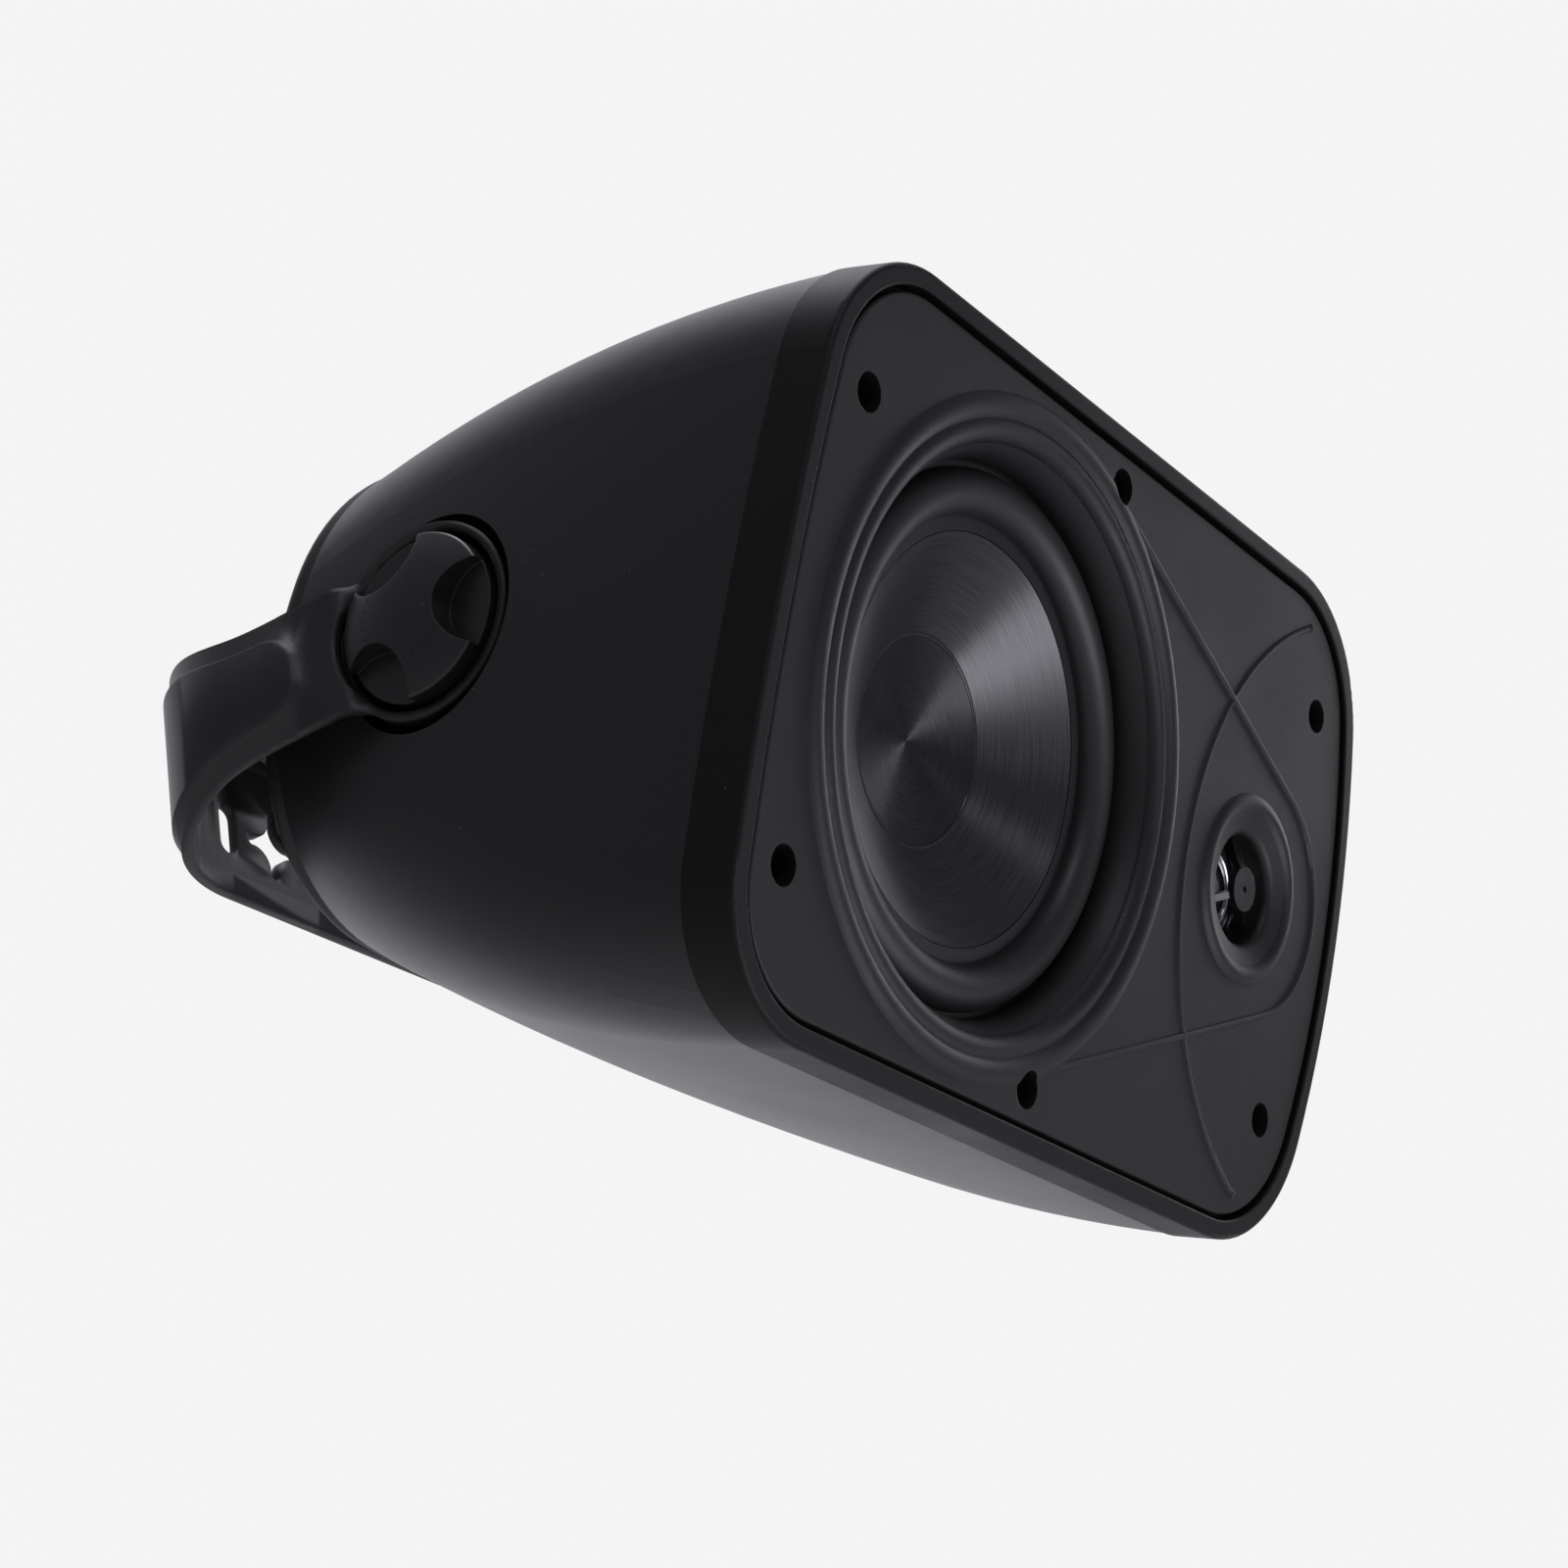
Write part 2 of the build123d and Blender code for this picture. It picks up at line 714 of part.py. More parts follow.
with BuildPart() as voice_coil_winding:
    with BuildSketch(behind(former_top_depth + former_length)):
        with Locations((woofer_x, 0)):
            Circle(neck_r + winding_thickness)
            Circle(neck_r, mode=Mode.SUBTRACT)
    extrude(amount=winding_length)

basket_front = woofer_seat
basket_flange_back = basket_front + basket_flange_thickness
basket_back = basket_base_depth + basket_base_thickness
plate_bore_r = neck_r + winding_thickness + magnet_gap
ledge_front = spider_depth + spider_thickness
with BuildPart() as woofer_basket:
    with BuildSketch(driver_section(woofer_x)):
        with BuildLine():
            Polyline(
                (basket_throat_r - basket_wall, -basket_front),
                (basket_flange_r, -basket_front),
                (basket_flange_r, -basket_flange_back),
                (basket_throat_r, -basket_flange_back),
                (basket_base_r + basket_wall, -basket_base_depth),
                (basket_base_r + basket_wall, -basket_back),
                (plate_bore_r, -basket_back),
                (plate_bore_r, -basket_base_depth),
                (basket_base_r, -basket_base_depth),
                close=True,
            )
        make_face()
    revolve(axis=driver_axis(woofer_x))
    wall_run = (basket_throat_r - basket_wall - basket_base_r) / (basket_base_depth - basket_front)
    ledge_outer_r = basket_throat_r - basket_wall / 2 - wall_run * (ledge_front - basket_front)
    with BuildSketch(behind(ledge_front + spider_ledge_thickness)):
        with Locations((woofer_x, 0)):
            Circle(ledge_outer_r)
            Circle(spider_ledge_r, mode=Mode.SUBTRACT)
    extrude(amount=spider_ledge_thickness)
    with BuildSketch(behind(basket_flange_back + basket_wall / 2)):
        with Locations((woofer_x, 0)):
            Circle(basket_throat_r - 2 * basket_wall)
            Circle(ledge_outer_r + basket_wall, mode=Mode.SUBTRACT)
            with PolarLocations(basket_throat_r / 2, basket_spokes):
                Rectangle(basket_throat_r, basket_spoke_width, mode=Mode.SUBTRACT)
    extrude(amount=-(ledge_front - basket_flange_back - basket_wall), mode=Mode.SUBTRACT)
    with BuildSketch(behind(basket_front)):
        with Locations((woofer_x, 0)):
            with PolarLocations(woofer_screw_circle_r, woofer_screw_count, start_angle=woofer_screw_deg):
                Circle(screw_shank_r + screw_clearance)
    extrude(amount=-basket_flange_thickness, mode=Mode.SUBTRACT)

spider_inner_r = neck_r
spider_run = (spider_ledge_r - spider_inner_r) / (2 * spider_waves)
with BuildPart() as woofer_spider:
    with BuildSketch(driver_section(woofer_x)):
        with BuildLine():
            crests = [
                (spider_inner_r + spider_run * i, -spider_depth + spider_wave_height * (i % 2))
                for i in range(2 * spider_waves + 1)
            ]
            troughs = [(r, y - spider_thickness) for r, y in reversed(crests)]
            Polyline(
                *crests,
                (spider_outer_r, -spider_depth),
                (spider_outer_r, -spider_depth - spider_thickness),
                *troughs,
                close=True,
            )
        make_face()
    revolve(axis=driver_axis(woofer_x))

with BuildPart() as woofer_top_plate:
    with BuildSketch(behind(basket_back)):
        with Locations((woofer_x, 0)):
            Circle(plate_r)
            Circle(plate_bore_r, mode=Mode.SUBTRACT)
    extrude(amount=-top_plate_thickness)

magnet_front = basket_back + top_plate_thickness
magnet_back = magnet_front + magnet_thickness
with BuildPart() as woofer_magnet:
    with BuildSketch(behind(magnet_front)):
        with Locations((woofer_x, 0)):
            Circle(magnet_outer_r)
            Circle(magnet_inner_r, mode=Mode.SUBTRACT)
    extrude(amount=-magnet_thickness)

with BuildPart() as woofer_yoke:
    with BuildSketch(behind(magnet_back)):
        with Locations((woofer_x, 0)):
            Circle(plate_r)
    extrude(amount=-yoke_thickness)
    with BuildSketch(behind(magnet_back)):
        with Locations((woofer_x, 0)):
            Circle(former_r - magnet_gap)
    extrude(amount=magnet_back - basket_back)

woofer_screws = pan_screws(
    basket_flange_back,
    polar_spots(woofer_screw_circle_r, woofer_screw_count, woofer_screw_deg),
    woofer_screw_length,
    facing=-1,
    centre=(woofer_x, 0.0),
)

# Tweeter: a bridge over the diaphragm, with its housing and magnet screwed behind the baffle
def spoke_section(angle_deg):
    """A plane through the tweeter's axis, turned to a spoke: local x is outwards, local y forward."""
    angle = radians(angle_deg)
    outwards = sideways * cos(angle) + upward * sin(angle)
    origin = baffle_plane.from_local_coords((tweeter_x, 0, 0))
    return Plane(origin=origin, x_dir=outwards, z_dir=outwards.cross(forward))


with BuildPart() as tweeter_bridge:
    with BuildSketch(behind(tweeter_seat)):
        with Locations((tweeter_x, 0)):
            Circle(bridge_ring_r)
            Circle(throat_r, mode=Mode.SUBTRACT)
    extrude(amount=bridge_ring_thickness)
    with BuildSketch(behind(hub_depth + hub_thickness)):
        with Locations((tweeter_x, 0)):
            Circle(hub_r)
    extrude(amount=hub_thickness)
    for i in range(spoke_count):
        with BuildSketch(spoke_section(spoke_first_deg + 360.0 * i / spoke_count)):
            with BuildLine():
                Polyline(
                    (hub_r - spoke_thickness, -hub_depth - hub_thickness / 4),
                    (throat_r - play, -throat_depth + spoke_thickness / 2),
                    (throat_r - play, -throat_depth),
                    (throat_r + play, -throat_depth),
                    (throat_r + play, -tweeter_seat),
                    (throat_r - spoke_thickness, -tweeter_seat),
                    (hub_r - spoke_thickness, -hub_depth - hub_thickness),
                    close=True,
                )
            make_face()
        extrude(amount=spoke_width / 2, both=True)
    with BuildSketch(behind(hub_depth)):
        with Locations((tweeter_x, 0)):
            Circle(hub_hole_r)
    extrude(amount=-hub_thickness, mode=Mode.SUBTRACT)

housing_back = tweeter_seat + housing_thickness
flange_step = housing_back - housing_thickness / 3
flange_depth = flange_step - diaphragm_play - diaphragm_thickness
with BuildPart() as tweeter_housing:
    with BuildSketch(behind(tweeter_seat)):
        with Locations((tweeter_x, 0)):
            Circle(housing_r)
    extrude(amount=-housing_thickness)
    with BuildSketch(behind(tweeter_seat)):
        with Locations((tweeter_x, 0)):
            with PolarLocations(tweeter_screw_circle_r, tweeter_screw_count, start_angle=tweeter_screw_deg):
                Circle(lug_r)
            lug_root_r = tweeter_screw_circle_r - lug_r
            with PolarLocations(lug_root_r, tweeter_screw_count, start_angle=tweeter_screw_deg):
                Rectangle(2 * lug_r, 2 * lug_r)
    extrude(amount=-lug_thickness)
    with BuildSketch(behind(tweeter_seat)):
        with Locations((tweeter_x, 0)):
            Circle(housing_step_r)
    extrude(amount=-housing_thickness, mode=Mode.SUBTRACT)
    with BuildSketch(behind(tweeter_seat)):
        with Locations((tweeter_x, 0)):
            Circle(housing_inner_r)
    extrude(amount=-(flange_step - tweeter_seat), mode=Mode.SUBTRACT)
    with BuildSketch(behind(tweeter_seat)):
        with Locations((tweeter_x, 0)):
            with PolarLocations(tweeter_screw_circle_r, tweeter_screw_count, start_angle=tweeter_screw_deg):
                Circle(screw_shank_r + screw_clearance)
    extrude(amount=-lug_thickness, mode=Mode.SUBTRACT)

dome_bulge = (diaphragm_r**2 + diaphragm_height**2) / (2 * diaphragm_height)
dome_mid_r = diaphragm_r / 2
dome_mid = diaphragm_height - dome_bulge + sqrt(dome_bulge**2 - dome_mid_r**2)
roll_mid_r = (diaphragm_r + diaphragm_roll_r) / 2
roll_height = (diaphragm_roll_r - diaphragm_r) / 2
with BuildPart() as tweeter_diaphragm:
    with BuildSketch(driver_section(tweeter_x)):
        front = -flange_depth
        under = front - diaphragm_thickness
        with BuildLine():
            ThreePointArc((0, front + diaphragm_height), (dome_mid_r, front + dome_mid), (diaphragm_r, front))
            ThreePointArc((diaphragm_r, front), (roll_mid_r, front + roll_height), (diaphragm_roll_r, front))
            Polyline(
                (diaphragm_roll_r, front),
                (diaphragm_flange_r, front),
                (diaphragm_flange_r, under),
                (diaphragm_roll_r, under),
            )
            ThreePointArc((diaphragm_roll_r, under), (roll_mid_r, under + roll_height), (diaphragm_r, under))
            ThreePointArc((diaphragm_r, under), (dome_mid_r, under + dome_mid), (0, under + diaphragm_height))
            Line((0, under + diaphragm_height), (0, front + diaphragm_height))
        make_face()
    revolve(axis=driver_axis(tweeter_x))

with BuildPart() as tweeter_voice_coil:
    with BuildSketch(behind(flange_depth + diaphragm_thickness)):
        with Locations((tweeter_x, 0)):
            Circle(diaphragm_r)
            Circle(diaphragm_r - tweeter_coil_thickness, mode=Mode.SUBTRACT)
    extrude(amount=-tweeter_coil_length)

with BuildPart() as tweeter_top_plate:
    with BuildSketch(behind(housing_back)):
        with Locations((tweeter_x, 0)):
            Circle(tweeter_plate_r)
            Circle(diaphragm_r + tweeter_gap, mode=Mode.SUBTRACT)
    extrude(amount=-tweeter_plate_thickness)

tweeter_magnet_front = housing_back + tweeter_plate_thickness
tweeter_magnet_back = tweeter_magnet_front + tweeter_magnet_thickness
with BuildPart() as tweeter_magnet:
    with BuildSketch(behind(tweeter_magnet_front)):
        with Locations((tweeter_x, 0)):
            Circle(tweeter_magnet_r)
            Circle(diaphragm_r + 3 * tweeter_gap, mode=Mode.SUBTRACT)
    extrude(amount=-tweeter_magnet_thickness)

with BuildPart() as tweeter_yoke:
    with BuildSketch(behind(tweeter_magnet_back)):
        with Locations((tweeter_x, 0)):
            Circle(tweeter_plate_r)
    extrude(amount=-tweeter_yoke_thickness)
    with BuildSketch(behind(tweeter_magnet_back)):
        with Locations((tweeter_x, 0)):
            Circle(diaphragm_r - tweeter_coil_thickness - tweeter_gap)
    extrude(amount=tweeter_magnet_back - housing_back)

tweeter_screws = pan_screws(
    tweeter_seat + lug_thickness,
    polar_spots(tweeter_screw_circle_r, tweeter_screw_count, tweeter_screw_deg),
    tweeter_screw_length,
    facing=-1,
    centre=(tweeter_x, 0.0),
)

# Rear cover with its gasket, screws, terminal cup and stands for the crossover
cover_front = rear_depth + cover_gasket_thickness
cover_back = cover_front + cover_depth
plate_front = cover_back - cover_plate
cup_floor = cover_back - cup_depth
board_back = plate_front - board_stand
board_front = board_back - board_thickness
board_spots = [
    (board_x + along * (board_length / 2 - board_screw_inset), across * (board_width / 2 - board_screw_inset))
    for along in (-1, 1)
    for across in (-1, 1)
]
post_spots = [(cup_x + side * post_spacing / 2, 0.0) for side in (-1, 1)]

with BuildPart() as rear_gasket:
    with BuildSketch(behind(cover_front)):
        add(outline(rear_station, cover_inset))
        add(outline(rear_station, rear_flange_width), mode=Mode.SUBTRACT)
        with Locations(*cover_screw_spots):
            Circle(screw_shank_r + screw_clearance, mode=Mode.SUBTRACT)
    extrude(amount=cover_gasket_thickness)

with BuildPart() as rear_cover:
    with BuildSketch(behind(cover_back)):
        add(outline(rear_station, cover_inset))
    extrude(amount=cover_depth)
    fillet(rear_cover.faces().sort_by(forward_axis)[0].edges(), cover_round)
    with BuildSketch(behind(plate_front)):
        add(outline(rear_station, rear_flange_width))
    extrude(amount=cover_depth - cover_plate, mode=Mode.SUBTRACT)
    with BuildSketch(behind(plate_front)):
        with Locations((cup_x, 0)):
            RectangleRounded(cup_length + 2 * cup_wall, cup_width + 2 * cup_wall, cup_corner + cup_wall)
        with Locations(*board_spots):
            Circle(board_stand_r)
    extrude(amount=board_stand)
    with BuildSketch(behind(plate_front)):
        with Locations((cup_x, 0)):
            RectangleRounded(cup_length + 2 * cup_wall, cup_width + 2 * cup_wall, cup_corner + cup_wall)
    extrude(amount=plate_front - cup_floor + cup_wall)
    with BuildSketch(behind(cover_back)):
        with Locations((cup_x, 0)):
            RectangleRounded(cup_length, cup_width, cup_corner)
    extrude(amount=cup_depth, mode=Mode.SUBTRACT)
    with BuildSketch(behind(cup_floor)):
        with Locations(*post_spots):
            Circle(post_stem_r)
    extrude(amount=cup_wall, mode=Mode.SUBTRACT)
    with BuildSketch(behind(board_back)):
        with Locations(*board_spots):
            Circle(screw_shank_r + screw_clearance)
    extrude(amount=-(board_screw_length - board_thickness), mode=Mode.SUBTRACT)
    with BuildSketch(behind(cover_back)):
        with Locations(*cover_screw_spots):
            Circle(screw_head_r + baffle_gap)
    extrude(amount=cover_plate, mode=Mode.SUBTRACT)
    with BuildSketch(behind(cover_back)):
        with Locations(*cover_screw_spots):
            Circle(screw_shank_r + screw_clearance)
    extrude(amount=cover_depth, mode=Mode.SUBTRACT)

rear_cover_screws = pan_screws(plate_front, cover_screw_spots, cover_screw_length, facing=-1)

with BuildPart() as post_stems:
    with BuildSketch(behind(cup_floor + post_stem_length - post_stem_tail)):
        with Locations(*post_spots):
            Circle(post_stem_r)
    extrude(amount=post_stem_length)


def post_pieces(spot):
    """The fixed base and the turning cap of one binding post."""
    with BuildPart() as base:
        with BuildSketch(behind(cup_floor)):
            with Locations(spot):
                Circle(post_base_r)
                Circle(post_stem_r, mode=Mode.SUBTRACT)
        extrude(amount=-post_base_thickness)
    with BuildPart() as cap:
        with BuildSketch(behind(cup_floor + post_base_thickness + play)):
            with Locations(spot):
                Circle(post_cap_r)
                Circle(post_stem_r + post_clearance, mode=Mode.SUBTRACT)
                with PolarLocations(post_cap_r, post_cap_flutes):
                    Circle(post_cap_flute_r, mode=Mode.SUBTRACT)
        extrude(amount=-post_cap_length)
    return base, cap


post_base_black, post_cap_black = post_pieces(post_spots[0])
post_base_red, post_cap_red = post_pieces(post_spots[1])

# Crossover: a board on the stands, with its coil, capacitors and resistor
with BuildPart() as crossover_board:
    with BuildSketch(behind(board_back)):
        with Locations((board_x, 0)):
            Rectangle(board_length, board_width)
        with Locations(*board_spots):
            Circle(screw_shank_r + screw_clearance, mode=Mode.SUBTRACT)
    extrude(amount=board_thickness)

with BuildPart() as crossover_inductor:
    with BuildSketch(behind(board_front)):
        with Locations((board_x - board_length / 4, 0)):
            Circle(inductor_outer_r)
            Circle(inductor_inner_r, mode=Mode.SUBTRACT)
    extrude(amount=inductor_height)

with BuildPart() as crossover_capacitors:
    capacitor_plane = Plane(
        origin=behind(board_front - capacitor_r).from_local_coords((board_x + board_length / 8, 0, 0)),
        x_dir=upward,
        z_dir=sideways,
    )
    with BuildSketch(capacitor_plane):
        with Locations((-board_width / 4, 0), (0, 0)):
            Circle(capacitor_r)
    extrude(amount=capacitor_length)

with BuildPart() as crossover_resistor:
    with BuildSketch(behind(board_front)):
        with Locations((board_x + board_length / 4, board_width / 4)):
            Rectangle(resistor_size[0], resistor_size[1])
    extrude(amount=resistor_size[2])

crossover_screws = pan_screws(board_front, board_spots, board_screw_length)

# Wall bracket: a strap bent to a U, with an embossed panel and a collared eye on each arm
pocket_r = collar_r - collar_wall
border_back = -emboss_height
neck_start_y = -pivot_to_wall - collar_r
neck_end_y = -pivot_to_wall + neck_end
strap_points = [
    (-neck_reach, neck_start_y),
    (-neck_reach, neck_end_y),
    (-strap_span, neck_end_y + neck_jog),
    (-strap_span, border_back),
    (strap_span, border_back),
    (strap_span, neck_end_y + neck_jog),
    (neck_reach, neck_end_y),
    (neck_reach, neck_start_y),
]
strap_radii = [neck_round, neck_shoulder_round, strap_bend_r, strap_bend_r, neck_shoulder_round, neck_round]


def strap_line(grow):
    """The strap's outer line in plan, grown outwards by an amount."""
    line = FilletPolyline(*strap_points, radius=strap_radii, mode=Mode.PRIVATE)
    if grow > 0:
        return line.offset_2d(grow, side=Side.LEFT, closed=False)
    if grow < 0:
        return line.offset_2d(-grow, side=Side.RIGHT, closed=False)
    return line


def strap_region(grow):
    """The plan inside the strap's outer line, grown outwards by an amount."""
    with BuildSketch(mode=Mode.PRIVATE) as region:
        with BuildLine():
            line = strap_line(grow)
            add(line)
            Line(line @ 1, line @ 0)
        make_face()
    return region.sketch_local


def side_face(border):
    """The strap's outline seen from its end, from the pivot to the wall, less a border."""
    neck = neck_half_width - border
    arm = arm_half_width - border
    back = back_half_width - border
    arm_y = -pivot_to_wall + arm_half_width_at
    back_y = -pivot_to_wall + back_width_at
    with BuildSketch(mode=Mode.PRIVATE) as face:
        with BuildLine():
            Polyline((neck_end_y, -neck), (-pivot_to_wall, -neck), (-pivot_to_wall, neck), (neck_end_y, neck))
            Spline((neck_end_y, neck), (arm_y, arm), (back_y, back), tangents=((1, 0), (1, 0)))
            Polyline((back_y, back), (emboss_height, back), (emboss_height, -back), (back_y, -back))
            Spline((back_y, -back), (arm_y, -arm), (neck_end_y, -neck), tangents=((-1, 0), (-1, 0)))
        make_face()
    return face.sketch_local


def strap_pad(outside, inside, border):
    """A pad that follows the strap between two offsets from its outer line, inside a border."""
    with BuildPart() as pad:
        with BuildSketch(Plane.XY):
            add(strap_region(outside))
            add(strap_region(inside), mode=Mode.SUBTRACT)
        extrude(amount=back_half_width, both=True)
        with BuildSketch(Plane.YZ) as side:
            add(side_face(border))
            with Locations((-pivot_to_wall + emboss_start + border - emboss_border, 0)):
                reach = 2 * pivot_to_wall
                Rectangle(reach, reach, align=(Align.MIN, Align.CENTER), mode=Mode.INTERSECT)
            fillet(side.vertices().group_by(Axis.X)[0], emboss_corner + emboss_border - border)
        extrude(amount=2 * strap_span, both=True, mode=Mode.INTERSECT)
    return pad.part


def star_face():
    """A four-pointed star with round tips and hollow sides."""
    with BuildSketch(mode=Mode.PRIVATE) as star:
        with BuildLine():
            for turn in (0, 90, 180, 270):
                before = Vector(star_reach - star_tip, -star_tip).rotate(Axis.Z, turn)
                tip = Vector(star_reach, 0).rotate(Axis.Z, turn)
                after = Vector(star_reach - star_tip, star_tip).rotate(Axis.Z, turn)
                waist = Vector(star_waist, 0).rotate(Axis.Z, turn + 45)
                following = Vector(star_reach - star_tip, -star_tip).rotate(Axis.Z, turn + 90)
                ThreePointArc(before, tip, after)
                ThreePointArc(after, waist, following)
        make_face()
    return star.sketch_local


def stands_out(face):
    """True for a face of the raised panel whose corners all stand off the strap's outer line."""
    corners = [Vertex(v.X, v.Y, 0) for v in face.vertices()]
    return min(strap_line(0.0).distance_to(corner) for corner in corners) > emboss_height / 2


strap_panel = strap_pad(emboss_height, 0.0, emboss_border)
skin_edges = strap_panel.faces().filter_by(stands_out).edges()
strap_panel = chamfer([e for e in skin_edges if skin_edges.count(e) == 1], emboss_slope)


def eye_cup(end):
    """The eye at one end: a floor with the stud's hole, inside a round collar."""
    with BuildPart() as cup:
        with BuildSketch(end_plane(end, eye_base)):
            Circle(collar_r)
        extrude(amount=neck_reach - eye_base)
        with BuildSketch(end_plane(end, eye_top)):
            Circle(pocket_r)
        extrude(amount=neck_reach, mode=Mode.SUBTRACT)
        mouth = cup.edges().filter_by(lambda e: abs(e.center().X) > neck_reach - play)
        fillet(mouth.sort_by(SortBy.RADIUS)[0], collar_round)
        with BuildSketch(end_plane(end, eye_base)):
            Circle(stud_r + stud_clearance)
        extrude(amount=eye_floor_thickness, mode=Mode.SUBTRACT)
    return cup.part


with BuildPart() as whole_bracket:
    with BuildSketch(Plane.XY):
        add(strap_region(0.0))
        add(strap_region(-strap_thickness), mode=Mode.SUBTRACT)
    extrude(amount=collar_r, both=True)
    with BuildSketch(Plane.YZ) as strap_outline:
        add(side_face(0.0))
        with Locations((-pivot_to_wall, 0)):
            Circle(collar_r)
        notch = -pivot_to_wall + sqrt(collar_r**2 - neck_half_width**2)
        fillet(strap_outline.vertices().sort_by(lambda v: abs(v.X - notch))[0:2], neck_round)
    extrude(amount=2 * strap_span, both=True, mode=Mode.INTERSECT)
    for end in (-1, 1):
        with BuildSketch(end_plane(end, eye_top)):
            Circle(pocket_r)
        extrude(amount=neck_reach, mode=Mode.SUBTRACT)
        add(eye_cup(end))
    add(strap_panel)
    inner_border = emboss_border + emboss_slope
    add(strap_pad(emboss_height - strap_thickness, -strap_thickness, inner_border), mode=Mode.SUBTRACT)
    slot_x = strap_span - wall_slot_inset
    star_x = strap_span - star_inset
    with BuildSketch(Plane.XZ):
        with Locations((-slot_x, -wall_hole_drop), (slot_x, -wall_hole_drop)):
            SlotOverall(wall_slot_length, wall_slot_width, rotation=90)
        with Locations((-star_x, -wall_hole_drop), (star_x, -wall_hole_drop)):
            add(star_face())
    extrude(amount=strap_bend_r / 2, both=True, mode=Mode.SUBTRACT)


def bracket_length(start, end):
    """The length of the bracket between two places along the wall, as a piece of its own."""
    with BuildPart() as length:
        add(whole_bracket.part)
        with BuildSketch(Plane.YZ.offset(start)):
            Rectangle(4 * pivot_to_wall, 4 * back_half_width)
        extrude(amount=end - start, mode=Mode.INTERSECT)
    return length


back_end = strap_span - back_end_inset
back_middle = strap_span - back_middle_inset
wall_bracket = bracket_length(-back_middle, back_middle)
woofer_end_plate = bracket_length(-back_end, -back_middle)
tweeter_end_plate = bracket_length(back_middle, back_end)
woofer_end_arm = bracket_length(-2 * strap_span, -back_end)
tweeter_end_arm = bracket_length(back_end, 2 * strap_span)


def knob_pieces(end):
    """The clamp knob, its stud, the thread insert and the friction washer at one end."""
    knob_base = eye_top + play
    with BuildPart() as knob:
        out = sideways * end
        lobe = radians(scoop_first_deg + 180.0 / knob_scoops)
        lobe_direction = forward * cos(lobe) + upward * sin(lobe)
        with BuildSketch(Plane(origin=pivot + out * knob_base, x_dir=lobe_direction, z_dir=out)):
            Circle(knob_r)
        extrude(amount=knob_top - knob_base)
        dome_r = (knob_r**2 + knob_crown**2) / (2 * knob_crown)
        with Locations(pivot + out * (knob_top - dome_r)):
            Sphere(dome_r, rotation=(0, 0, 90), mode=Mode.INTERSECT)
        shoulder = knob.edges().filter_by(lambda e: abs(abs(e.center().X) - knob_edge) < play)
        fillet(shoulder.filter_by(GeomType.CIRCLE), knob_round)
        scoop_floor = pivot + out * (knob_edge - scoop_rim_drop)
        with BuildSketch(Plane(origin=scoop_floor, x_dir=lobe_direction, z_dir=out)):
            with PolarLocations(scoop_centre_r, knob_scoops, 180.0 / knob_scoops):
                Circle(scoop_r)
        extrude(amount=knob_top - knob_base, mode=Mode.SUBTRACT)
        with BuildSketch(end_plane(end, knob_base)):
            Circle(stud_r)
        extrude(amount=stud_grip, mode=Mode.SUBTRACT)
    with BuildPart() as stud:
        with BuildSketch(end_plane(end, knob_base + stud_grip)):
            Circle(stud_r)
        extrude(amount=-stud_length)
    with BuildPart() as insert:
        with BuildSketch(end_plane(end, pivot_floor)):
            Circle(insert_r)
            Circle(stud_r + stud_clearance, mode=Mode.SUBTRACT)
        extrude(amount=-insert_length)
    with BuildPart() as washer:
        with BuildSketch(end_plane(end, pivot_floor)):
            Circle(washer_r)
            Circle(stud_r + stud_clearance, mode=Mode.SUBTRACT)
        extrude(amount=washer_thickness)
    return knob, stud, insert, washer


woofer_end_knob, woofer_end_stud, woofer_end_insert, woofer_end_washer = knob_pieces(-1)
tweeter_end_knob, tweeter_end_stud, tweeter_end_insert, tweeter_end_washer = knob_pieces(1)

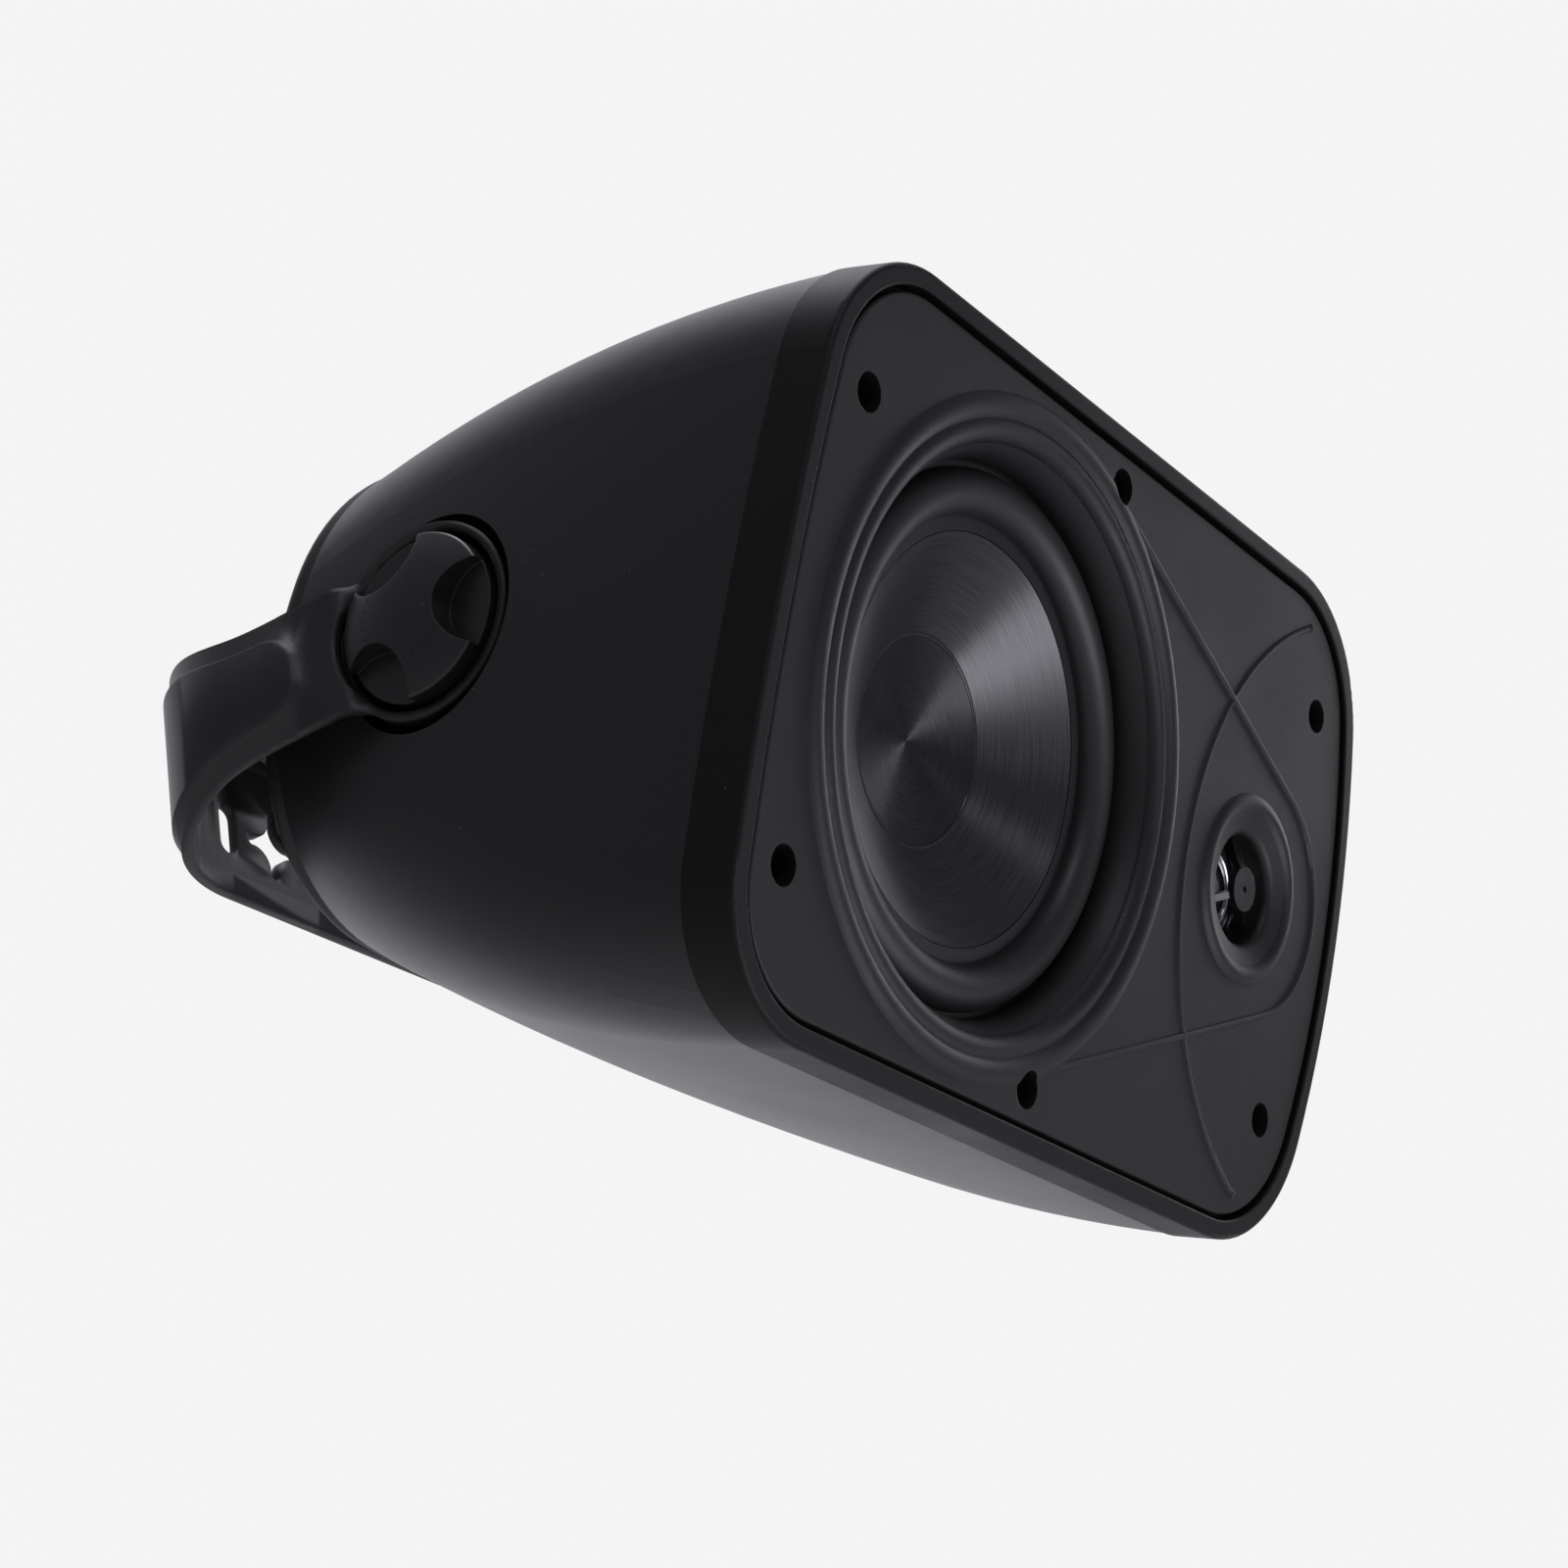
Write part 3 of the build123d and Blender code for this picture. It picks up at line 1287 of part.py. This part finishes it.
pieces = {
    "wall_bracket": wall_bracket,
    "woofer_end_plate": woofer_end_plate,
    "woofer_end_arm": woofer_end_arm,
    "tweeter_end_plate": tweeter_end_plate,
    "tweeter_end_arm": tweeter_end_arm,
    "cabinet_shell": cabinet_shell,
    "front_rim": front_rim,
    "baffle": baffle,
    "baffle_gasket": baffle_gasket,
    "baffle_screws": baffle_screws,
    "woofer_gasket": woofer_gasket,
    "woofer_surround": woofer_surround,
    "woofer_cone": woofer_cone,
    "woofer_dust_cap": woofer_dust_cap,
    "voice_coil_former": voice_coil_former,
    "voice_coil_winding": voice_coil_winding,
    "woofer_basket": woofer_basket,
    "woofer_spider": woofer_spider,
    "woofer_top_plate": woofer_top_plate,
    "woofer_magnet": woofer_magnet,
    "woofer_yoke": woofer_yoke,
    "woofer_screws": woofer_screws,
    "tweeter_bridge": tweeter_bridge,
    "tweeter_housing": tweeter_housing,
    "tweeter_diaphragm": tweeter_diaphragm,
    "tweeter_voice_coil": tweeter_voice_coil,
    "tweeter_top_plate": tweeter_top_plate,
    "tweeter_magnet": tweeter_magnet,
    "tweeter_yoke": tweeter_yoke,
    "tweeter_screws": tweeter_screws,
    "rear_gasket": rear_gasket,
    "rear_cover": rear_cover,
    "rear_cover_screws": rear_cover_screws,
    "post_stems": post_stems,
    "post_base_red": post_base_red,
    "post_base_black": post_base_black,
    "post_cap_red": post_cap_red,
    "post_cap_black": post_cap_black,
    "crossover_board": crossover_board,
    "crossover_inductor": crossover_inductor,
    "crossover_capacitors": crossover_capacitors,
    "crossover_resistor": crossover_resistor,
    "crossover_screws": crossover_screws,
    "woofer_end_knob": woofer_end_knob,
    "woofer_end_stud": woofer_end_stud,
    "woofer_end_insert": woofer_end_insert,
    "woofer_end_washer": woofer_end_washer,
    "tweeter_end_knob": tweeter_end_knob,
    "tweeter_end_stud": tweeter_end_stud,
    "tweeter_end_insert": tweeter_end_insert,
    "tweeter_end_washer": tweeter_end_washer,
}

os.makedirs("parts", exist_ok=True)
for name, piece in pieces.items():
    piece.part.label = name
    export_step(piece.part, f"parts/{name}.step")
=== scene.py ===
from math import atan2, cos, hypot, pi, radians, sin, sqrt, tau

import bmesh
import bpy
from mathutils import Matrix, Vector


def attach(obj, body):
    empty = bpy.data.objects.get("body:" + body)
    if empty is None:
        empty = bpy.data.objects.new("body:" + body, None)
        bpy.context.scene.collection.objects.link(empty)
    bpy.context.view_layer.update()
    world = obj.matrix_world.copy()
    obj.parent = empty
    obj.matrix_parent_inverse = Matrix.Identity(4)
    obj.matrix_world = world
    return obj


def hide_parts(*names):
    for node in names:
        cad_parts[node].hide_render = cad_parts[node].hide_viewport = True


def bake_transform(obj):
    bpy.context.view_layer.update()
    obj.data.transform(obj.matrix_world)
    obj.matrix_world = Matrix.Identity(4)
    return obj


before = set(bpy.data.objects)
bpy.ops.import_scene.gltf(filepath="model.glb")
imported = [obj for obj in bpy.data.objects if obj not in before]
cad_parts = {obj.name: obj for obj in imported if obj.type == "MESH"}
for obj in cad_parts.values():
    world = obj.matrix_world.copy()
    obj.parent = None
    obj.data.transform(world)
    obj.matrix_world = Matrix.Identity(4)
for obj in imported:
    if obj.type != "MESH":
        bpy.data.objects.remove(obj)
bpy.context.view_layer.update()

# Wall bracket: a strap of pressed steel bent to a U, with an embossed panel, wall slots and a collared
# eye at each end. It is powder coated satin black, with the coat's fine orange peel. The CAD holds it as
# five lengths that meet face to face, joined here into one.


def surface(name, colour, roughness, grain=2400.0, depth=0.2, clouding=0.05, edge=0.0, metallic=0.0):
    """A coated or moulded skin: fine grain, uneven gloss, soft edges and a few specks of dust."""
    material = bpy.data.materials.new(name)
    material.use_nodes = True
    nodes, links = material.node_tree.nodes, material.node_tree.links
    shader = nodes["Principled BSDF"]
    shader.inputs["Metallic"].default_value = metallic
    place = nodes.new("ShaderNodeTexCoord").outputs["Object"]
    skin = nodes.new("ShaderNodeTexNoise")
    skin.inputs["Scale"].default_value = grain
    skin.inputs["Detail"].default_value = 2.0
    links.new(place, skin.inputs["Vector"])
    tone = nodes.new("ShaderNodeValToRGB")
    tone.color_ramp.elements[0].position = 0.3
    tone.color_ramp.elements[0].color = (*(0.75 * c for c in colour), 1)
    tone.color_ramp.elements[1].position = 0.7
    tone.color_ramp.elements[1].color = (*(1.25 * c for c in colour), 1)
    links.new(skin.outputs[0], tone.inputs["Fac"])
    specks = nodes.new("ShaderNodeTexVoronoi")
    specks.inputs["Scale"].default_value = 110.0
    links.new(place, specks.inputs["Vector"])
    speck = nodes.new("ShaderNodeMapRange")
    speck.inputs["From Min"].default_value = 0.012
    speck.inputs["From Max"].default_value = 0.03
    speck.inputs["To Min"].default_value = 0.5
    speck.inputs["To Max"].default_value = 0.0
    links.new(specks.outputs["Distance"], speck.inputs["Value"])
    dusted = nodes.new("ShaderNodeMix")
    dusted.data_type = "RGBA"
    dusted.inputs["B"].default_value = (0.3, 0.3, 0.31, 1)
    links.new(speck.outputs["Result"], dusted.inputs["Factor"])
    links.new(tone.outputs["Color"], dusted.inputs["A"])
    links.new(dusted.outputs["Result"], shader.inputs["Base Color"])
    relief = nodes.new("ShaderNodeBump")
    relief.inputs["Strength"].default_value = depth
    relief.inputs["Distance"].default_value = 0.0001
    links.new(skin.outputs[0], relief.inputs["Height"])
    links.new(relief.outputs["Normal"], shader.inputs["Normal"])
    if edge:
        softened = nodes.new("ShaderNodeBevel")
        softened.samples = 4
        softened.inputs["Radius"].default_value = edge
        links.new(softened.outputs["Normal"], relief.inputs["Normal"])
    haze = nodes.new("ShaderNodeTexNoise")
    haze.inputs["Scale"].default_value = 22.0
    haze.inputs["Detail"].default_value = 4.0
    links.new(place, haze.inputs["Vector"])
    gloss = nodes.new("ShaderNodeMapRange")
    gloss.inputs["From Min"].default_value = 0.3
    gloss.inputs["From Max"].default_value = 0.7
    gloss.inputs["To Min"].default_value = roughness - clouding
    gloss.inputs["To Max"].default_value = roughness + clouding
    links.new(haze.outputs[0], gloss.inputs["Value"])
    links.new(gloss.outputs["Result"], shader.inputs["Roughness"])
    return material


def dress(material, *names):
    """Gives CAD nodes, whose shapes are right, their finish."""
    for name in names:
        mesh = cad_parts[name].data
        mesh.materials.clear()
        mesh.materials.append(material)


def piece(name, form, place, material, body, slot, *nodes, sharp=30):
    """Puts a form in its place as an object, riding on a body if one is named, for CAD nodes."""
    form.transform(place)
    bmesh.ops.recalc_face_normals(form, faces=form.faces)
    mesh = bpy.data.meshes.new(name)
    form.to_mesh(mesh)
    form.free()
    mesh.materials.append(material)
    mesh.shade_smooth()
    mesh.set_sharp_from_angle(angle=radians(sharp))
    made = bpy.data.objects.new(name, mesh)
    bpy.context.scene.collection.objects.link(made)
    if body:
        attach(made, body)
    if nodes:
        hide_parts(*nodes)
    return made


powder_coat = surface(
    "powder_coat", (0.0125, 0.0122, 0.0138), 0.4, grain=1500.0, edge=0.0022, clouding=0.02
)
lengths = ("wall_bracket", "woofer_end_plate", "tweeter_end_plate", "woofer_end_arm", "tweeter_end_arm")
plate_cut, arm_cut = 0.08, 0.1235
strap = bmesh.new()
for length in lengths:
    strap.from_mesh(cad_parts[length].data)
bmesh.ops.remove_doubles(strap, verts=strap.verts, dist=0.00001)
joins = []
for face in strap.faces:
    reach = abs(face.verts[0].co.x)
    on_cut = min(abs(reach - plate_cut), abs(reach - arm_cut)) < 0.00002
    if on_cut and abs(face.normal.x) > 0.99:
        joins.append(face)
bmesh.ops.delete(strap, geom=joins, context="FACES")
piece("bracket_strap", strap, Matrix(), powder_coat, "bracket", "bracket", *lengths)

# Cabinet shell and rear cover: hollow mouldings in satin black plastic. The cover closes the back on a
# foam gasket with six blackened screws, and carries the cup for the binding posts.
cabinet_skin = surface("cabinet_skin", (0.0092, 0.009, 0.0104), 0.38, depth=0.12, clouding=0.012)
dress(cabinet_skin, "cabinet_shell")
cover_skin = surface("cover_skin", (0.0115, 0.0115, 0.0125), 0.5, depth=0.3)
dress(cover_skin, "rear_cover")
foam = surface("foam", (0.01, 0.01, 0.01), 0.9, grain=900.0, depth=0.9)
dress(foam, "rear_gasket", "baffle_gasket", "woofer_gasket")
black_steel = surface("black_steel", (0.02, 0.02, 0.021), 0.35, edge=0.0002, metallic=0.8)
dress(
    black_steel,
    "rear_cover_screws",
    "baffle_screws",
    "woofer_screws",
    "tweeter_screws",
    "crossover_screws",
)

# Binding posts: turned brass stems through the cover, with a moulded base and a fluted cap on each, one
# pair red and one black.
turned_brass = surface("turned_brass", (0.62, 0.45, 0.18), 0.3, grain=700.0, metallic=1.0)
dress(turned_brass, "post_stems", "woofer_end_insert", "tweeter_end_insert")
black_moulding = surface("black_moulding", (0.012, 0.012, 0.012), 0.25, edge=0.0002)
dress(black_moulding, "post_base_black", "post_cap_black")
red_moulding = surface("red_moulding", (0.42, 0.012, 0.01), 0.25, edge=0.0002)
dress(red_moulding, "post_base_red", "post_cap_red")

# Crossover: a laminate board on the cover's stands, with an enamelled copper coil, two sleeved
# capacitors and a white ceramic resistor.
laminate = surface("laminate", (0.03, 0.11, 0.05), 0.45, grain=1200.0)
dress(laminate, "crossover_board")
enamelled_copper = surface("enamelled_copper", (0.6, 0.26, 0.13), 0.3, grain=1700.0, metallic=1.0)
dress(enamelled_copper, "crossover_inductor", "voice_coil_winding", "tweeter_voice_coil")
sleeve = surface("sleeve", (0.02, 0.03, 0.1), 0.28, grain=500.0)
dress(sleeve, "crossover_capacitors")
ceramic = surface("ceramic", (0.75, 0.74, 0.7), 0.7, grain=900.0, depth=0.5)
dress(ceramic, "crossover_resistor")

# Front rim: a frame moulded in matte black plastic that stands a hair proud of the shell. It caps
# the shell's front edge and has a ledge inside for the baffle.
rim_skin = surface("rim_skin", (0.0042, 0.0041, 0.0049), 0.5, depth=0.3, edge=0.0006)
rim_skin.node_tree.nodes["Principled BSDF"].inputs["Specular IOR Level"].default_value = 0.24
dress(rim_skin, "front_rim")

# Baffle: a fine grained charcoal moulding with the woofer's trim, the tweeter's dish, six screw wells and
# raised beads. Its six screws draw it down on a gasket.
baffle_skin = surface(
    "baffle_skin", (0.0058, 0.0056, 0.0068), 0.5, grain=1900.0, depth=0.5, edge=0.0003
)
baffle_skin.node_tree.nodes["Principled BSDF"].inputs["Specular IOR Level"].default_value = 0.4
dress(baffle_skin, "baffle")

# Woofer motor: a painted pressed basket, a spider of treated cloth, a foil former and zinc plated steel
# round a ferrite ring. The tweeter's steel and ring, and the clamp studs, are of the same kinds.
dress(surface("basket_paint", (0.02, 0.02, 0.02), 0.45), "woofer_basket")
dress(surface("treated_cloth", (0.35, 0.22, 0.08), 0.85, grain=1100.0, depth=0.9), "woofer_spider")
dress(surface("foil", (0.5, 0.5, 0.5), 0.35, grain=800.0, metallic=1.0), "voice_coil_former")
zinc = surface("zinc", (0.45, 0.45, 0.46), 0.32, grain=600.0, metallic=1.0, clouding=0.12)
dress(
    zinc,
    "woofer_top_plate",
    "woofer_yoke",
    "tweeter_top_plate",
    "tweeter_yoke",
    "woofer_end_stud",
    "tweeter_end_stud",
)
ferrite = surface("ferrite", (0.05, 0.05, 0.052), 0.6, grain=1500.0, depth=0.4)
dress(ferrite, "woofer_magnet", "tweeter_magnet")

# Surround: a satin rubber half roll, glued between the basket's seat and the cone's edge. It is laid in
# twelve equal lengths. Sizes are in mm.


def turned(profile, share=1, steps=180):
    """A form spun from a profile of radii and heights, in mm, through a share of a full turn."""
    form = bmesh.new()
    spots = [form.verts.new((radius, 0, height)) for radius, height in profile]
    edges = [form.edges.new(pair) for pair in zip(spots, spots[1:])]
    bmesh.ops.spin(
        form,
        geom=spots + edges,
        cent=(0, 0, 0),
        axis=(0, 0, 1),
        angle=tau * share,
        steps=steps,
        use_merge=share == 1,
    )
    bmesh.ops.remove_doubles(form, verts=form.verts, dist=0.001)
    return form


rubber = surface("rubber", (0.011, 0.0108, 0.0123), 0.45, grain=2200.0, depth=0.15)
dress(rubber, "woofer_end_washer", "tweeter_end_washer")
tilt = radians(22.5)
pivot = Vector((0, -0.116, 0))
front_ahead_of_pivot = 0.1255
cabinet_frame = (
    Matrix.Translation(pivot)
    @ Matrix.Rotation(radians(90) + tilt, 4, "X")
    @ Matrix.Translation((0, 0, front_ahead_of_pivot))
    @ Matrix.Scale(0.001, 4)
)
woofer_x = -49.5
on_woofer = cabinet_frame @ Matrix.Translation((woofer_x, 0, 0))
seat_edge, cone_edge = 83, 59
roll_middle, roll_outer, roll_inner = 70, 7, 5.8
roll_top, roll_under = -15, -16.2
roll_lengths = 12
half_turn = [radians(10 * step) for step in range(19)]
over = [(roll_middle + roll_outer * cos(a), roll_top + roll_outer * sin(a)) for a in half_turn]
beneath = [(roll_middle - roll_inner * cos(a), roll_top + roll_inner * sin(a)) for a in half_turn]
roll_section = (
    [(seat_edge, roll_top)]
    + over
    + [(cone_edge, roll_top), (cone_edge, roll_under), (roll_middle - roll_inner, roll_under)]
    + beneath
    + [(roll_middle + roll_inner, roll_under), (seat_edge, roll_under), (seat_edge, roll_top)]
)
for number in range(roll_lengths):
    facing = tau * number / roll_lengths
    start_angle = facing - tau / roll_lengths / 2
    roll = turned(roll_section, share=1 / roll_lengths, steps=15)
    bmesh.ops.holes_fill(roll, edges=roll.edges)
    turn = Matrix.Rotation(start_angle, 3, "Z")
    bmesh.ops.rotate(roll, verts=roll.verts, cent=(0, 0, 0), matrix=turn)
    name = f"surround_length_{number + 1}"
    length = piece(name, roll, on_woofer, rubber, None, "surround", "woofer_surround")
    level = Vector((0, 0, roll_top))
    outward = Vector((cos(facing), sin(facing), 0))
    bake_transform(length)

# Cone and dust cap: skins of dark metal, each brushed in circles on the lathe. The dished cap is glued
# over the coil's former, with a bead of glue at its edge. Sizes are in mm.


def brushed_round(form):
    """Lays a map on a turned form: across is the angle round the axis, up is the radius in mm."""
    layer = form.loops.layers.uv.new("brushing")
    for face in form.faces:
        middle = face.calc_center_median()
        turn = atan2(middle.y, middle.x)
        for loop in face.loops:
            x, y = loop.vert.co.xy
            swing = (atan2(y, x) - turn + pi) % tau - pi if hypot(x, y) > 0.01 else 0.0
            loop[layer].uv = ((turn + swing) / tau, hypot(x, y))


def brushed_metal(name, colour, roughness):
    """Metal brushed in circles: long fine streaks that spread its reflections across them."""
    material = bpy.data.materials.new(name)
    material.use_nodes = True
    nodes, links = material.node_tree.nodes, material.node_tree.links
    shader = nodes["Principled BSDF"]
    shader.inputs["Metallic"].default_value = 1.0
    shader.inputs["Anisotropic"].default_value = 0.9
    shader.inputs["Anisotropic Rotation"].default_value = 0.25
    along = nodes.new("ShaderNodeTangent")
    along.direction_type = "UV_MAP"
    along.uv_map = "brushing"
    links.new(along.outputs["Tangent"], shader.inputs["Tangent"])
    place = nodes.new("ShaderNodeUVMap")
    place.uv_map = "brushing"
    stretch = nodes.new("ShaderNodeMapping")
    stretch.inputs["Scale"].default_value = (14.0, 2.2, 1.0)
    links.new(place.outputs["UV"], stretch.inputs["Vector"])
    streaks = nodes.new("ShaderNodeTexNoise")
    streaks.inputs["Scale"].default_value = 1.0
    streaks.inputs["Detail"].default_value = 4.0
    links.new(stretch.outputs["Vector"], streaks.inputs["Vector"])
    tone = nodes.new("ShaderNodeValToRGB")
    tone.color_ramp.elements[0].position = 0.3
    tone.color_ramp.elements[0].color = (*(0.72 * c for c in colour), 1)
    tone.color_ramp.elements[1].position = 0.7
    tone.color_ramp.elements[1].color = (*(1.28 * c for c in colour), 1)
    links.new(streaks.outputs[0], tone.inputs["Fac"])
    links.new(tone.outputs["Color"], shader.inputs["Base Color"])
    gloss = nodes.new("ShaderNodeMapRange")
    gloss.inputs["To Min"].default_value = roughness - 0.08
    gloss.inputs["To Max"].default_value = roughness + 0.08
    links.new(streaks.outputs[0], gloss.inputs["Value"])
    links.new(gloss.outputs["Result"], shader.inputs["Roughness"])
    return material


gunmetal = brushed_metal("gunmetal", (0.1, 0.098, 0.102), 0.4)
cone_face = [(cone_edge, -15.7), (58.75, -15.7), (58.7, -15.16), (30.4, -30.6), (16, -38.4)]
cone_back = [(16, -39.3), (cone_edge, -15.9), (cone_edge, -15.7)]
cone = turned(cone_face + cone_back)
brushed_round(cone)
piece("brushed_cone", cone, on_woofer, gunmetal, "cone", "cone", "woofer_cone")
cap = turned([(0, -34.6), (29.9, -30.65), (30.4, -30.9), (30.4, -31.4), (0, -35.3)])
brushed_round(cap)
dark_gunmetal = brushed_metal("dark_gunmetal", (0.075, 0.074, 0.079), 0.38)
piece("brushed_dust_cap", cap, on_woofer, dark_gunmetal, "cone", "cone", "woofer_dust_cap")
glue = surface("glue", (0.016, 0.016, 0.018), 0.16, grain=900.0, depth=0.1)
bead_crown = [(29.8, -30.8), (29.9, -30.45), (30.2, -30.25), (30.6, -30.2), (31.0, -30.25)]
bead_foot = [(30.4, -31.2), (29.8, -30.8)]
bead = turned(bead_crown + bead_foot)
piece("cap_glue_bead", bead, on_woofer, glue, "cone", "cone", sharp=60)

# Tweeter: a glossy moulded bridge of three spokes and a hub stands in the throat, before a dome of thin
# polished film. Its housing is screwed to the back of the baffle.
gloss_black = surface("gloss_black", (0.011, 0.011, 0.012), 0.28, depth=0.08, edge=0.0003)
dress(gloss_black, "tweeter_bridge", "tweeter_housing")
film = surface("film", (0.42, 0.42, 0.43), 0.22, grain=700.0, depth=0.08, metallic=1.0)
dress(film, "tweeter_diaphragm")

# Clamp knobs: domed mouldings with three finger scoops, each turned down on its eye by a steel stud. An
# arc of small dimples marks each lobe, drawn as thin near-black discs on the dome: painted shade for the
# dimples' hollows.


def row(vector):
    """A direction along, up and out of the baffle, turned to the row frame."""
    u, v, w = vector
    return Vector((u, -sin(tilt) * v - cos(tilt) * w, cos(tilt) * v - sin(tilt) * w))


def facing_out(direction):
    """A turn that points a form's own z along a direction."""
    return direction.to_track_quat("Z", "Y").to_matrix().to_4x4()


knob_skin = surface("knob_skin", (0.0118, 0.0116, 0.013), 0.37, depth=0.15, edge=0.0006)
dress(knob_skin, "woofer_end_knob", "tweeter_end_knob")
# Painted shade: the dimples' shadow is a near-black colour on discs that sit on the dome.
painted_dimple_shadow = surface("painted_dimple_shadow", (0.0035, 0.0035, 0.004), 0.6)
dome_radius, dome_middle, dimple_ring = 0.05549, 0.11331, 0.0144
dome_rise = sqrt(dome_radius**2 - dimple_ring**2)
dimple_sink = 0.00012
for end, side in (("woofer_end", -1), ("tweeter_end", 1)):
    dimples = bmesh.new()
    for lobe in (71, 191, 311):
        for step in (-24, -12, 0, 12, 24):
            turn = radians(lobe + step)
            around = row((0, sin(turn), cos(turn))) * dimple_ring
            outward = (Vector((side * dome_rise, 0, 0)) + around).normalized()
            centre = pivot + Vector((side * dome_middle, 0, 0))
            spot = centre + outward * (dome_radius - dimple_sink)
            bmesh.ops.create_cone(
                dimples,
                cap_ends=True,
                segments=14,
                radius1=0.0006,
                radius2=0.0005,
                depth=0.0003,
                matrix=Matrix.Translation(spot) @ facing_out(outward),
            )
    piece(end + "_dimples", dimples, Matrix(), painted_dimple_shadow, end + "_clamp", "knobs")

# Camera where the photograph was taken: its three directions in the baffle's frame, its place and its
# lens were solved from points found in the picture.
right = row((0.55973, 0.17369, 0.81027))
down = row((0.30930, -0.95091, -0.00982))
ahead = row((0.76879, 0.25611, -0.58598))
camera = bpy.data.objects.new("camera", bpy.data.cameras.new("camera"))
camera.data.lens = 75.25
camera.data.sensor_width = 36.0
camera.data.clip_end = 50.0
stand = Matrix((right, -down, -ahead)).transposed().to_4x4()
stand.translation = (-0.7842, -0.5817, -0.4714)
camera.matrix_world = stand
bpy.context.scene.collection.objects.link(camera)
bpy.context.scene.camera = camera
bpy.context.scene.view_settings.view_transform = "Standard"

# Lights: four soft panels, slightly cool, aimed at the speaker.
cool_white = (0.93, 0.92, 1.0)
lit_spot = Vector((0, -0.17, 0))


def softbox(name, direction, distance, width, height, power):
    """A soft light, unseen by the camera, that faces the speaker from a direction."""
    lamp = bpy.data.lights.new(name, "AREA")
    lamp.shape = "RECTANGLE"
    lamp.size = width
    lamp.size_y = height
    lamp.energy = power
    lamp.color = cool_white
    made = bpy.data.objects.new(name, lamp)
    made.visible_camera = False
    aim = row(direction).normalized()
    made.matrix_world = Matrix.Translation(lit_spot + aim * distance) @ facing_out(aim)
    bpy.context.scene.collection.objects.link(made)


softbox("front_light", (0.29, -0.31, 0.9), 2.2, 1.0, 1.1, 17)
softbox("high_light", (-0.51, 0.7, 0.49), 2.2, 0.6, 0.6, 5)
softbox("side_light", (0.92, 0.39, 0.1), 1.4, 0.5, 0.5, 2.9)
softbox("top_light", (0.0, 0.9, -0.2), 2.0, 1.4, 1.4, 24)

# Floor: a pale painted sheet well below the speaker. It takes the shadow, and glows a little for the
# camera, less in reflections, so that it reads pale under this soft light.
floor_level = -1.9
camera_glow, mirrored_share = 0.6, 0.25
floor_form = bmesh.new()
bmesh.ops.create_grid(floor_form, x_segments=8, y_segments=8, size=8.0)
bmesh.ops.translate(floor_form, verts=floor_form.verts, vec=(0, 0, floor_level))
floor_mesh = bpy.data.meshes.new("floor")
floor_form.to_mesh(floor_mesh)
floor_form.free()
floor_paint = surface("floor_paint", (0.8, 0.8, 0.8), 0.8, grain=300.0)
nodes, links = floor_paint.node_tree.nodes, floor_paint.node_tree.links
path = nodes.new("ShaderNodeLightPath")
shown = nodes.new("ShaderNodeMath")
shown.operation = "MULTIPLY_ADD"
shown.inputs[1].default_value = mirrored_share
links.new(path.outputs["Is Glossy Ray"], shown.inputs[0])
links.new(path.outputs["Is Camera Ray"], shown.inputs[2])
pale = nodes.new("ShaderNodeMath")
pale.operation = "MULTIPLY"
pale.inputs[1].default_value = camera_glow
links.new(shown.outputs["Value"], pale.inputs[0])
links.new(pale.outputs["Value"], nodes["Principled BSDF"].inputs["Emission Strength"])
nodes["Principled BSDF"].inputs["Emission Color"].default_value = (1, 1, 1, 1)
floor_mesh.materials.append(floor_paint)
floor = bpy.data.objects.new("floor", floor_mesh)
bpy.context.scene.collection.objects.link(floor)

# Room: a pale backdrop for the camera. Reflections see it bright behind the speaker and dim elsewhere,
# and it gives a weak even fill.
fill_level, dim_level, bright_level, backdrop_level = 0.3, 0.2, 0.9, 0.905
bright_within, dim_beyond = radians(34), radians(62)
world = bpy.data.worlds.new("pale_room")
bpy.context.scene.world = world
world.use_nodes = True
nodes, links = world.node_tree.nodes, world.node_tree.links
backdrop = nodes["Background"]
bearing = nodes.new("ShaderNodeTexCoord").outputs["Generated"]
toward = nodes.new("ShaderNodeVectorMath")
toward.operation = "DOT_PRODUCT"
toward.inputs[1].default_value = ahead
links.new(bearing, toward.inputs[0])
sweep = nodes.new("ShaderNodeMapRange")
sweep.interpolation_type = "SMOOTHSTEP"
sweep.inputs["From Min"].default_value = cos(dim_beyond)
sweep.inputs["From Max"].default_value = cos(bright_within)
sweep.inputs["To Min"].default_value = dim_level
sweep.inputs["To Max"].default_value = bright_level
links.new(toward.outputs["Value"], sweep.inputs["Value"])
seen = nodes.new("ShaderNodeLightPath")
mirrored = nodes.new("ShaderNodeMath")
mirrored.operation = "MAXIMUM"
links.new(seen.outputs["Is Glossy Ray"], mirrored.inputs[0])
links.new(seen.outputs["Is Transmission Ray"], mirrored.inputs[1])
around = nodes.new("ShaderNodeMix")
around.data_type = "FLOAT"
around.inputs["A"].default_value = fill_level
links.new(mirrored.outputs["Value"], around.inputs["Factor"])
links.new(sweep.outputs["Result"], around.inputs["B"])
level = nodes.new("ShaderNodeMix")
level.data_type = "FLOAT"
level.inputs["B"].default_value = backdrop_level
links.new(seen.outputs["Is Camera Ray"], level.inputs["Factor"])
links.new(around.outputs["Result"], level.inputs["A"])
links.new(level.outputs["Result"], backdrop.inputs["Strength"])
cool = nodes.new("ShaderNodeMix")
cool.data_type = "RGBA"
cool.inputs["A"].default_value = (*cool_white, 1)
cool.inputs["B"].default_value = (1, 1, 1, 1)
links.new(seen.outputs["Is Camera Ray"], cool.inputs["Factor"])
links.new(cool.outputs["Result"], backdrop.inputs["Color"])
